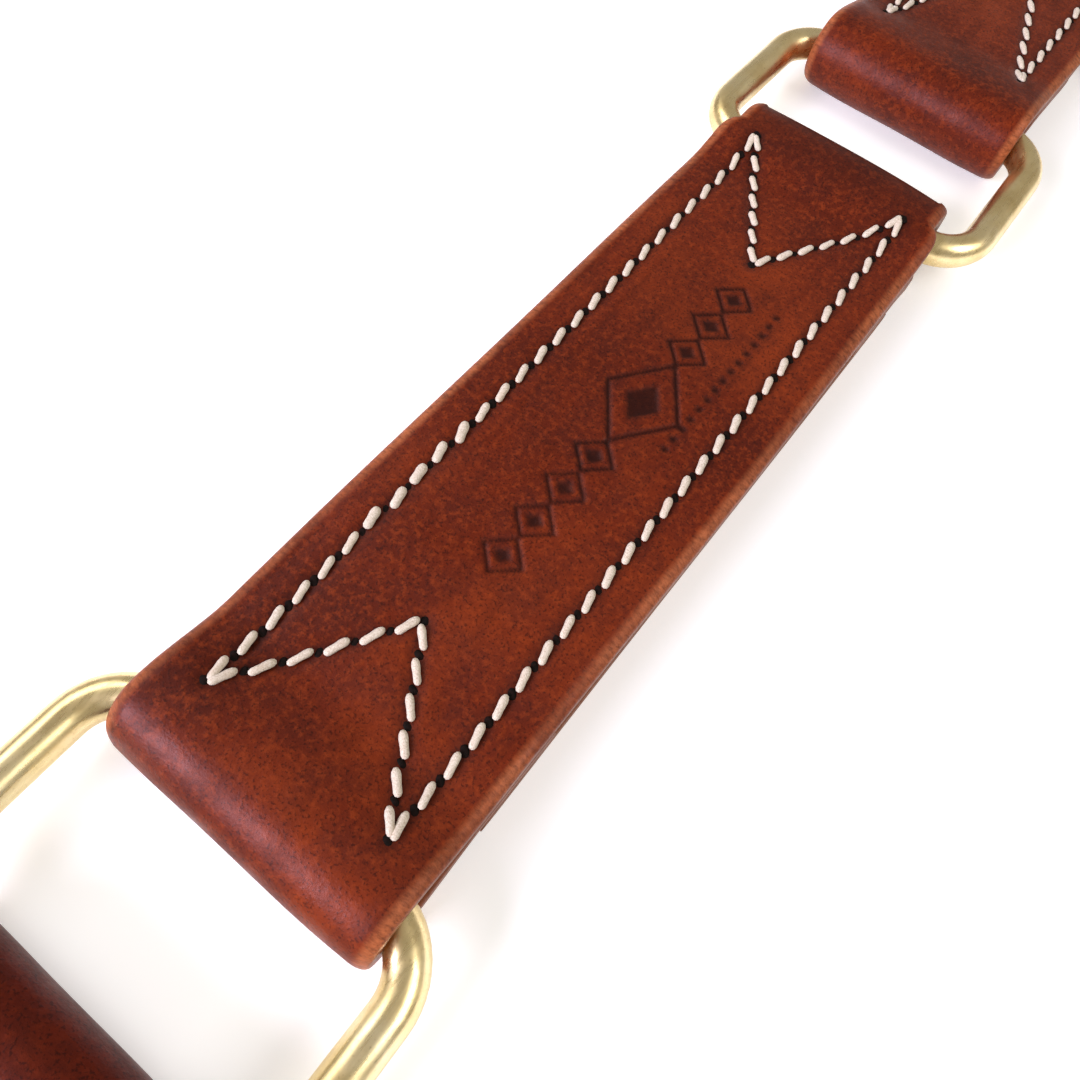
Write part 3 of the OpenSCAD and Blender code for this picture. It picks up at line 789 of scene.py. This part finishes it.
def turned_profile(stops, x, z, step=0.5):
    """A turned part along Y: stops are (y, radius), and the part keeps every stop."""
    path, grow = [], []
    for (y0, r0), (y1, r1) in zip(stops[:-1], stops[1:]):
        count = max(1, int(abs(y1 - y0) / step))
        for k in range(count):
            path.append((x, y0 + (y1 - y0) * k / count + 1e-4 * len(path), z))
            grow.append(r0 + (r1 - r0) * k / count)
    path.append((x, stops[-1][0] + 1e-4 * len(path), z))
    grow.append(stops[-1][1])
    return sweep(path, round_section(1.0, 24), grow=grow)


def rounded_rectangle(cx, cy, z, w, l, corner, step=0.9):
    """Centreline of a rectangular ring, w along X and l along Y, with round corners."""
    line = []
    turns = max(6, int(corner * math.pi / 2 / step))
    corners = ((1, 1), (-1, 1), (-1, -1), (1, -1))
    for k, (sx, sy) in enumerate(corners):
        mx, my = cx + sx * (w / 2 - corner), cy + sy * (l / 2 - corner)
        for a in np.linspace(0, 90, turns + 1):
            f = (a + 90 * k) * DEG
            line.append((mx + corner * math.cos(f), my + corner * math.sin(f), z))
        nx, ny = corners[(k + 1) % 4]
        f = (90 + 90 * k) * DEG
        end = np.array([cx + nx * (w / 2 - corner) + corner * math.cos(f),
                        cy + ny * (l / 2 - corner) + corner * math.sin(f), z])
        here = np.array(line[-1])
        between = max(2, int(np.linalg.norm(end - here) / step))
        for t in np.linspace(0, 1, between + 1)[1:-1]:
            line.append(tuple(here + (end - here) * t))
    return line


def brass_ring(name, node, body, bar_r, corner):
    """A rectangular ring of round bar where a CAD ring is."""
    low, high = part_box(node)
    low, high = low / MM, high / MM
    mid, size = (low + high) / 2, high - low
    line = rounded_rectangle(mid[0], mid[1], mid[2], size[0] - 2 * bar_r, size[1] - 2 * bar_r, corner)
    brass_piece(name, [sweep(line, round_section(bar_r), closed=True, uneven=0.012)], node, body)


def buckle_tongue(name, node, body, at, way, gap):
    """Tongue: an eye closed round the heel bar, and an arm that rests on the front bar."""
    eye_r = SMALL_BAR_R + 1.15
    eye = [(0.0, eye_r * math.cos(a), BAR_Z + eye_r * math.sin(a)) for a in full_turn(36)]
    arm = []
    rest = BAR_Z + SMALL_BAR_R + 1.5
    for t in np.linspace(0, 1, 40):
        y = t * (gap + 3.6)
        arm.append((0.0, y, rest + 1.3 * math.exp(-((y / 5.0) ** 2)) - 0.25 * math.sin(math.pi * t)))
    grow = [1.0 - 0.28 * t - 0.5 * max(0.0, (t - 0.93) / 0.07) ** 2 for t in np.linspace(0, 1, 40)]
    brass_piece(name, [
        sweep(eye, flat_section(3.9, 1.6, 0.6), closed=True, up=(1.0, 0.0, 0.0)),
        sweep(arm, [(1.9 * math.cos(f), 1.15 * math.sin(f)) for f in full_turn(18)], grow=grow),
    ], node, body, at, way)


for node in ("near_upper_ring", "near_lower_ring", "off_upper_ring", "off_lower_ring"):
    brass_ring(node + "_bar", node, node, BAR_R, RING_CORNER)
brass_ring("crown_buckle_bar", "near_buckle_frame", "near_buckle", SMALL_BAR_R, RING_CORNER)
brass_ring("chin_buckle_bar", "chin_buckle_frame", "chin_buckle", SMALL_BAR_R, CHIN_CORNER)
brass_ring("chin_ring_bar", "chin_ring", "chin_ring", SMALL_BAR_R, CHIN_CORNER)
buckle_tongue("crown_buckle_pin", "near_buckle_tongue", "near_tongue", (0.0, HEEL_Y), 0, CROWN_BUCKLE_GAP)
buckle_tongue("chin_buckle_pin", "chin_buckle_tongue", "chin_tongue", (NOSE_END, NOSE_Y), 1, CHIN_BUCKLE_GAP)

circle = [(TIE[0] + TIE_R * math.cos(a), TIE[1] + TIE_R * math.sin(a), TIE[2]) for a in full_turn(144)]
tie_bar = sweep(circle, round_section(TIE_BAR_R, 24), closed=True, uneven=0.01)
brass_piece("tie_ring_bar", [tie_bar], "tie_ring", "tie_ring")

DEE_Z = 3.5
DEE_R = 11.5
dee_line = [(DEE_X + DEE_R * math.cos(a), DEE_Y + DEE_R * math.sin(a), DEE_Z)
            for a in np.linspace(-math.pi / 2, math.pi / 2, 49)]
dee_line += [(DEE_X, DEE_Y + y, DEE_Z) for y in np.linspace(DEE_R, -DEE_R, 25)[1:-1]]
dee_bar = sweep(dee_line, round_section(1.6, 16), closed=True)
brass_piece("throat_dee_bar", [dee_bar], "throat_dee", "throat_dee")

# ---- Snap hook ----

SNAP_AT = (SNAP_EYE_X, THROAT_Y)
EYE_GAP = 13.0
BARREL_X = 8.0
SHANK_X = -6.0
eye_line = rounded_rectangle(0.0, EYE_GAP / 2, BAR_Z, 21.6, EYE_GAP, 4.0)
eye_stem = [(13.0, 2.6), (15.0, 2.4), (15.5, 2.0), (23.0, 2.0), (23.1, 3.3), (25.9, 3.3)]
brass_piece("snap_eye_ring", [
    sweep(eye_line, round_section(1.8, 16), closed=True),
    turned_profile(eye_stem, 0.0, BAR_Z),
], "snap_eye", "snap_eye", SNAP_AT, -1)

hook_line = [(SHANK_X, y, BAR_Z) for y in np.linspace(28.0, 58.0, 40)]
hook_line += [(1.0 - 7.0 * math.cos(a), 58.0 + 7.0 * math.sin(a), BAR_Z)
              for a in np.linspace(0, math.pi, 33)[1:]]
hook_grow = [1.0] * (len(hook_line) - 4) + [0.97, 0.92, 0.84, 0.7]
outer_cut, inner_cut = math.asin(1.8 / 4.3), math.asin(1.8 / 2.6)
slotted = [(4.3 * math.cos(f), 4.3 * math.sin(f))
           for f in np.linspace(math.pi / 2 + outer_cut, 2.5 * math.pi - outer_cut, 28)]
slotted += [(2.6 * math.cos(f), 2.6 * math.sin(f))
            for f in np.linspace(2.5 * math.pi - inner_cut, math.pi / 2 + inner_cut, 22)]
barrel = [(BARREL_X, y, BAR_Z) for y in np.linspace(29.5, 47.0, 24)]
web = [(x, 28.6, BAR_Z) for x in np.linspace(-8.3, 10.5, 30)]
web_grow = [1 - 0.45 * abs(2 * t - 1) ** 6 for t in np.linspace(0, 1, 30)]
collar = [(18.0, 4.4), (18.8, 5.3), (20.5, 5.6), (22.0, 5.6), (22.4, 5.2), (23.0, 5.2), (23.4, 5.6),
          (27.0, 5.6), (29.0, 4.6)]
brass_piece("snap_hook_body", [
    turned_profile(collar, 0.0, BAR_Z),
    sweep(web, flat_section(5.2, 5.4, 1.6), grow=web_grow),
    turned_profile([(25.2, 3.0), (25.8, 4.0), (26.6, 4.3), (29.8, 4.3), (29.9, 2.7)], BARREL_X, BAR_Z),
    sweep(barrel, slotted),
    sweep(hook_line, round_section(2.5, 20), grow=hook_grow),
], "snap_body", "snap_body", SNAP_AT, -1)
stud = [(BARREL_X, 41.9 + 1e-4 * k, BAR_Z + 1.0 + 0.4 * k) for k in range(18)]
stud_grow = [1.5] * 12 + [1.7, 2.5, 2.6, 2.6, 2.4, 1.6]
brass_piece("snap_hook_plunger", [
    turned_profile([(40.6, 1.8), (41.1, 2.2), (57.0, 2.2), (57.6, 1.7)], BARREL_X, BAR_Z),
    sweep(stud, round_section(1.0, 18), up=(0.0, 1.0, 0.0), grow=stud_grow),
], "snap_plunger", "snap_plunger", SNAP_AT, -1)

# ---- Cheekpieces ----

MIDDLE_LAYER = dict(thick=3.25, across=3.0, edge_r=0.7, wave=0.05, crown=0.0)
LOWER_LAYER = dict(thick=3.25, across=1.6, edge_r=1.0, wave=0.05, crown=0.0, face=-1)


def cheek_half_width(y):
    """Half the cheekpiece's width: full, and narrower past the shoulders at its upper end."""
    full = STRAP_W / 2 - 0.2 + 0.35 * math.cos(math.pi * y / 130)
    t = min(1.0, max(0.0, (y - SHOULDER_Y + SHOULDER_R) / SHOULDER_R))
    return full - SHOULDER_CUT * (1 - math.sqrt(1 - t * t))


def pointed_rows(near, far, near_point, far_point, near_count=6):
    """Stitch holes: two long rows, and a point of stitches inside each turned end."""
    rows = []
    for side in (1, -1):
        rows.append(hole_line((side * SEAM, near), (side * SEAM, far)))
        if near_point:
            rows.append(hole_line((side * SEAM, near), (0.0, near + near_point), near_count))
        if far_point:
            rows.append(hole_line((side * SEAM, far), (0.0, far - far_point), 7))
    return rows


def rounded_box_distance(u, y, cx, cy, w, l, r):
    """Distance outside a rounded rectangle, negative inside."""
    dx = np.abs(u - cx) - (w / 2 - r)
    dy = np.abs(y - cy) - (l / 2 - r)
    outside = np.hypot(np.maximum(dx, 0), np.maximum(dy, 0))
    return outside + np.minimum(np.maximum(dx, dy), 0) - r


def pressed_lozenge(u, y, cy, half_u, half_y):
    """A pressed lozenge: an outline and a sunk middle."""
    lozenge = np.abs(u) / half_u + np.abs(y - cy) / half_y
    line = 0.42 / min(half_u, half_y)
    outline = 0.32 * np.exp(-(((lozenge - 1) / line) ** 2))
    sunk = 0.34 / (1 + np.exp((lozenge - 0.45) / (0.5 * line)))
    return outline + sunk


def tooling(u, y):
    """Plain blind tooling: the mark of the press's plate, a chain of lozenges and a line of beads."""
    plate = rounded_box_distance(u, y, cx=-0.5, cy=12.0, w=19.0, l=40.0, r=4.0)
    out = 0.05 / (1 + np.exp(plate / 0.2)) + 0.05 * np.exp(-((plate / 0.3) ** 2))
    u = u - 1.6
    out = out + pressed_lozenge(u, y, 5.0, 5.6, 7.6)
    for k in range(4):
        out = out + pressed_lozenge(u, y, -5.6 - 6.0 * k, 2.9, 2.7)
        out = out + pressed_lozenge(u, y, 15.6 + 6.0 * k, 2.9, 2.7) * (k < 3)
    for k in range(15):
        away = np.hypot(u - 6.3, y - 1.0 - 2.0 * k)
        out = out + 0.30 / (1 + np.exp((away - 0.5) / 0.12))
    return out


def cheekpiece(side, x, step, across, near, seed):
    """One cheekpiece: outer strap, filler, lining and sewing. The near one is tooled, and mended."""
    body = side + "_cheek"
    rows = pointed_rows(-55.9, 56.1, 20.3, 21.3)

    def relief(u, y):
        out = trough(rows, u, y)
        out = out + 0.14 / (1 + np.exp((SHOULDER_Y - 3.0 - y) / 1.2))
        return out + tooling(u, y) if near else out

    strap = leather_piece(
        side + "_cheek_leather", two_turns(-UPPER_Y, UPPER_Y, 25.0), STRAP_W, body, side + "_cheek_strap",
        (x, 0), step=step, across=across, relief=relief, half_width=cheek_half_width, seed=seed,
    )
    leather_piece(side + "_cheek_filler_layer", [(-34.8, MIDDLE_Z), (34.8, MIDDLE_Z)], STRAP_W - 0.7, body,
                  side + "_cheek_filler", (x, 0), slot="edge", material=LINING, **MIDDLE_LAYER)
    leather_piece(side + "_cheek_lining_layer", [(-UPPER_Y + 12, LOW_Z), (UPPER_Y - 12, LOW_Z)],
                  STRAP_W - 0.3, body, side + "_cheek_lining", (x, 0), slot="lining", material=LINING,
                  **LOWER_LAYER)

    def mended(hole):
        return near and hole[0] < -SEAM + 0.5 and -33 < hole[1] < -13

    sew(side + "_cheek_stitches", rows, on_top(strap), (x, 0), 0, body, side + "_cheek_thread",
        thick_from=mended, fine=near)


cheekpiece("near", 0.0, step=0.36, across=0.32, near=True, seed=0.4)
cheekpiece("off", OFF_X, step=1.0, across=0.9, near=False, seed=2.1)

# ---- Near crown chape ----

chape_rows = pointed_rows(CHAPE_Y + 8.0, HEEL_Y - 11.0, 40.0, 0, 10)
chape = leather_piece(
    "near_chape_leather", two_turns(CHAPE_Y, HEEL_Y, 24.0, r2=4.35), STRAP_W, "near_chape",
    "near_chape_strap", relief=sewn(chape_rows), half_width=plain_half(STRAP_W), step=0.6, across=0.55,
    cuts=[tongue_slot(HEEL_Y)], seed=1.1,
)
leather_piece("near_chape_filler_layer", [(CHAPE_Y + 24.3, MIDDLE_Z), (HEEL_Y - 24.3, MIDDLE_Z)],
              STRAP_W - 0.7, "near_chape", "near_chape_filler", slot="edge", material=LINING, **MIDDLE_LAYER)
sew("near_chape_stitches", chape_rows, on_top(chape), (0.0, 0.0), 0, "near_chape", "near_chape_thread",
    fine=True)
keeper("near_fixed_keeper_band", "near_fixed_keeper", "near_chape", 1)
keeper("near_runner_band", "near_runner", "near_runner", 1)
TAB_FOLD_R = 2.7
tab_line = [(24.0, 0.9), (9.0, 0.9)] + ease(9.0, 0.9, 0.0, DEE_Z - TAB_FOLD_R)[1:]
tab_line += arc(0.0, DEE_Z, TAB_FOLD_R, 270, 90)[1:]
tab_line += ease(0.0, DEE_Z + TAB_FOLD_R, 9.0, 2.45)[1:] + [(24.0, 2.45)]
leather_piece("dee_tab_leather", tab_line, 18.0, "near_chape", "dee_tab", (DEE_X, DEE_Y), -1, thick=1.55,
              step=0.7, across=0.9, edge_r=0.5, wave=0.03, crown=0.0)

# ---- Noseband and hangers ----


def nose_half_width(y):
    """Half the noseband's width: full between the cheeks, and narrower towards both ends."""
    full, far = NOSE_END - 36.0, -OFF_X + NOSE_END - 36.0
    t = max(-full - y, y - far) / 8.0
    t = min(1.0, max(0.0, t))
    return STRAP_W / 2 - 0.2 - (STRAP_W - CHIN_W) / 2 * t * t * (3 - 2 * t)


def merged_turns(a, b, z_in, z_top, r):
    """Centreline of a strap turned round a bar at both ends, where the turns stop at the lining's ends."""
    line = [(a + 13.6, z_in), (a + 8.0, z_in)] + ease(a + 8.0, z_in, a, BAR_Z - r)[1:]
    line += arc(a, BAR_Z, r, 270, 90)[1:] + ease(a, BAR_Z + r, a + 13.0, z_top)[1:]
    line += ease(b - 13.0, z_top, b, BAR_Z + r) + arc(b, BAR_Z, r, 90, -90)[1:]
    line += ease(b, BAR_Z - r, b - 8.0, z_in)[1:] + [(b - 13.6, z_in)]
    return line


NOSE_AT = (0.0, NOSE_Y)
nose_rows = two_rows(SEAM, 20.5, -OFF_X - 20.5)
nose = leather_piece(
    "noseband_leather", merged_turns(-NOSE_END, -OFF_X + NOSE_END, 4.5, 7.65, 4.55), STRAP_W, "noseband",
    "noseband_outer", NOSE_AT, -1, thick=3.1, half_width=nose_half_width, step=0.9, across=0.9,
    relief=sewn(nose_rows), cuts=[tongue_slot(-NOSE_END)], seed=3.3,
)
leather_piece(
    "noseband_lining_layer", [(-NOSE_END + 14.2, 4.5), (-OFF_X + NOSE_END - 14.2, 4.5)], STRAP_W, "noseband",
    "noseband_lining", NOSE_AT, -1, slot="lining", material=LINING, half_width=nose_half_width, step=2.0,
    **dict(LOWER_LAYER, thick=3.0),
)
sew("noseband_stitches", nose_rows, on_top(nose), NOSE_AT, -1, "noseband", "noseband_thread")

HANGER_LEN = 66.0
HANGER_TOP = 2 * BAR_Z - 1.5
HANGER_MIDDLE = 42.0
hanger_line = [(HANGER_LEN, 1.5), (16.0, 1.5)] + ease(16.0, 1.5, 0.0, BAR_Z - FOLD_R)[1:]
hanger_line += arc(0.0, BAR_Z, FOLD_R, 270, 90)[1:] + [(16.0, HANGER_TOP), (HANGER_LEN, HANGER_TOP)]
hanger_rows = []
low, high = HANGER_MIDDLE - SEAM, HANGER_MIDDLE + SEAM
for side in (1, -1):
    hanger_rows.append(hole_line((side * SEAM, low), (side * SEAM, high)))
    hanger_rows.append(hole_line((side * SEAM, low), (0.0, low - 18.0), 6))
    cross = HANGER_MIDDLE + side * SEAM
    hanger_rows.append(hole_line((SEAM, cross), (-SEAM, cross)))
# The hangers take the darker copy of the chestnut leather: painted shade.
for side, x in (("near", 0.0), ("off", OFF_X)):
    hanger = leather_piece(
        side + "_hanger_leather", hanger_line, STRAP_W, "noseband", side + "_hanger", (x, HANGER_Y), 2,
        thick=2.95, step=0.7, across=0.7, relief=sewn(hanger_rows), half_width=plain_half(STRAP_W),
        seed=4.0 + x, material=SHADED_CHESTNUT,
    )
both_rows = [[(x + u, HANGER_Y - y) for u, y in row] for row in hanger_rows for x in (0.0, OFF_X)]
sew("hanger_stitches", both_rows, lambda u, y: hanger.top(HANGER_Y - y) + 0.02, (0.0, 0.0), 0, "noseband",
    "hanger_thread")
keeper("chin_keeper_band", "chin_keeper", "noseband", 0)

# ---- Crown ----

CROWN_LEN = 610.0
CROWN_AT = (OFF_X, CHAPE_Y)
crown_line = [(13.6, LOW_Z), (8.0, LOW_Z)] + ease(8.0, LOW_Z, 0.0, BAR_Z - FOLD_R)[1:]
crown_line += arc(0.0, BAR_Z, FOLD_R, 270, 90)[1:] + ease(0.0, BAR_Z + FOLD_R, 14.0, MIDDLE_Z)[1:]
crown_line += [(399.0, MIDDLE_Z)] + ease(400.0, MIDDLE_Z, 414.0, LOW_Z) + [(CROWN_LEN, LOW_Z)]
crown_rows = two_rows(SEAM, 17.0, 396.0)
crown_holes = hole_row(CROWN_LEN - 45.0, 7)
crown = leather_piece(
    "crown_leather", crown_line, STRAP_W, "crown", "crown_strap", CROWN_AT, step=1.2, across=1.2,
    half_width=tip_half(STRAP_W, CROWN_LEN, 18.0), cuts=hole_cutters(crown_holes),
    relief=lambda u, y: trough(crown_rows, u, y) + punched(u, y, crown_holes), seed=5.2,
)
leather_piece("crown_lining_layer", [(14.2, LOW_Z), (398.0, LOW_Z)], STRAP_W - 0.4, "crown", "crown_lining",
              CROWN_AT, slot="lining", material=LINING, step=3.0, **LOWER_LAYER)
sew("crown_stitches", crown_rows, on_top(crown), CROWN_AT, 0, "crown", "crown_thread")

# ---- Chin straps and jaw strap ----

CHIN_TURN_Z = 1.75
CHIN_TOP_Z = 4.95
CHIN_SEAM = 8.5


def tie_fold(tuck):
    """First part of a strap that comes round the tie ring's bar, from where its turned end stops."""
    r, bar = TIE_BAR_R + 2.35, TIE[2]
    line = [(tuck, CHIN_TURN_Z), (14.0, CHIN_TURN_Z)] + ease(14.0, CHIN_TURN_Z, 0.0, bar - r)[1:]
    return line + arc(0.0, bar, r, 270, 90)[1:] + ease(0.0, bar + r, 14.0, CHIN_TOP_Z)[1:]


def tie_half(low_w, tip=None):
    """Half width of a strap whose fold at the tie ring is a narrower tab."""
    def half(y):
        t = min(1.0, max(0.0, (y - 11.5) / 3.0))
        value = 10.0 + (low_w / 2 - 0.15 - 10.0) * t * t * (3 - 2 * t)
        return min(value, tip(y)) if tip else value
    return half


LINK_LEN = 62.0
LINK_AT = (TIE[0] + TIE_SEAT, NOSE_Y)
link_rows = two_rows(CHIN_SEAM, 15.0, 47.0)
link_line = tie_fold(30.0) + ease(49.0, CHIN_TOP_Z, LINK_LEN, BAR_Z + FOLD_R)
link_line += arc(LINK_LEN, BAR_Z, FOLD_R, 90, -90)[1:]
link_line += ease(LINK_LEN, BAR_Z - FOLD_R, 48.0, CHIN_TURN_Z)[1:] + [(30.6, CHIN_TURN_Z)]
link = leather_piece(
    "chin_link_leather", link_line, CHIN_W, "chin_link", "chin_link_strap", LINK_AT, 1, thick=3.0,
    half_width=tie_half(CHIN_W), step=0.8, across=0.8, relief=sewn(link_rows), seed=6.1,
)
sew("chin_link_stitches", link_rows, on_top(link), LINK_AT, 1, "chin_link", "chin_link_thread")

BILLET_LEN = 215.0
BILLET_Z = 1.6
BILLET_AT = (TIE[0] - TIE_SEAT, NOSE_Y)
billet_rows = two_rows(CHIN_SEAM, 15.0, 31.0)
billet_holes = hole_row(BILLET_LEN - 32.0, 5)
billet_line = tie_fold(33.0) + [(34.0, CHIN_TOP_Z)]
billet_line += ease(34.5, CHIN_TOP_Z, 45.0, BILLET_Z) + [(BILLET_LEN, BILLET_Z)]
billet = leather_piece(
    "chin_billet_leather", billet_line, CHIN_W, "chin_billet", "chin_billet_strap", BILLET_AT, -1,
    thick=3.1, half_width=tie_half(CHIN_W, tip_half(CHIN_W, BILLET_LEN, 12.0)), step=0.9, across=0.9,
    relief=lambda u, y: trough(billet_rows, u, y) + punched(u, y, billet_holes),
    cuts=hole_cutters(billet_holes), seed=7.4,
)
sew("chin_billet_stitches", billet_rows, on_top(billet), BILLET_AT, -1, "chin_billet", "chin_billet_thread")

JAW_LEN = 140.0
JAW_AT = (TIE[0], NOSE_Y + TIE_SEAT)
jaw_rows = two_rows(CHIN_SEAM, 15.0, 118.0)
jaw = leather_piece(
    "jaw_leather", tie_fold(JAW_LEN) + [(JAW_LEN, CHIN_TOP_Z)], CHIN_W, "jaw_strap", "jaw_strap", JAW_AT,
    thick=3.1, half_width=tie_half(CHIN_W), step=0.9, across=0.9, relief=sewn(jaw_rows), seed=8.2,
)
sew("jaw_stitches", jaw_rows, on_top(jaw), JAW_AT, 0, "jaw_strap", "jaw_thread")
keeper("jaw_loop_band", "jaw_loop", "jaw_strap", 0, thick=2.4)

# ---- Throatlash ----

THROAT_AT = (THROAT_X, THROAT_Y)
throat_line = two_turns(0.0, THROAT_LEN, 24.0, z_in=1.2, z_top=3.35, r=4.2, r2=3.4)
throat_rows = two_rows(4.6, 15.0, THROAT_LEN - 15.0)
throat = leather_piece(
    "throatlash_leather", throat_line, THROAT_W, "throat_strap", "throat_strap", THROAT_AT, -1, thick=2.1,
    half_width=plain_half(THROAT_W), step=1.0, across=0.8, edge_r=1.2, crown=0.1, seed=9.5,
    relief=lambda u, y: trough(throat_rows, u, y, 0.15, 0.9),
)
sew("throatlash_stitches", throat_rows, on_top(throat), THROAT_AT, -1, "throat_strap", "throat_thread",
    radius=0.4)

# ---- Floor and light ----


def floor():
    """A plain pale floor under everything."""
    material, tree, shader = new_material("pale_floor")
    speck = noise(tree, 30, 2.0, 0.5)
    tree.links.new(ramp(tree, speck, [(0.2, (0.90, 0.90, 0.90)), (0.8, (0.93, 0.93, 0.93))]),
                   shader.inputs["Base Color"])
    shader.inputs["Roughness"].default_value = 0.9
    shader.inputs["Emission Color"].default_value = (1.0, 1.0, 1.0, 1.0)
    shader.inputs["Emission Strength"].default_value = 0.34
    size, below = 6000.0, -0.3
    corners = [(-size, -size, below), (size, -size, below), (size, size, below), (-size, size, below)]
    obj = make_object("floor", corners, [(0, 1, 2, 3)], material, smooth=False)


def area_light(name, at, size, power, colour):
    """A soft light, placed in metres and turned to the near cheekpiece's middle."""
    data = bpy.data.lights.new(name, "AREA")
    data.shape = "RECTANGLE"
    data.size, data.size_y = size
    data.energy = power
    data.color = colour
    lamp = bpy.data.objects.new(name, data)
    lamp.location = at
    lamp.rotation_euler = (Vector((0, 0, 0)) - Vector(at)).to_track_quat("-Z", "Y").to_euler()
    bpy.context.scene.collection.objects.link(lamp)


floor()
area_light("key", (1.1, 0.25, 1.1), size=(0.9, 0.7), power=10, colour=(1.0, 0.98, 0.95))
area_light("fill", (-1.1, 0.0, 1.0), size=(0.9, 0.7), power=6, colour=(0.97, 0.98, 1.0))
area_light("sheen", (-0.3, -0.66, 0.40), size=(0.5, 0.28), power=11, colour=(0.84, 0.80, 1.0))
world = bpy.data.worlds.new("studio")
bpy.context.scene.world = world
world.use_nodes = True
backdrop = world.node_tree.nodes["Background"]
backdrop.inputs["Color"].default_value = (1.0, 0.94, 0.87, 1.0)
backdrop.inputs["Strength"].default_value = 0.40
bpy.context.scene.view_settings.view_transform = "Standard"

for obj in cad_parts.values():
    metal = any(word in obj.name for word in ("ring", "buckle", "dee", "snap")) and "tab" not in obj.name
    obj.data.materials.clear()
    obj.data.materials.append(BRASS if metal else THREAD if "thread" in obj.name else CHESTNUT)

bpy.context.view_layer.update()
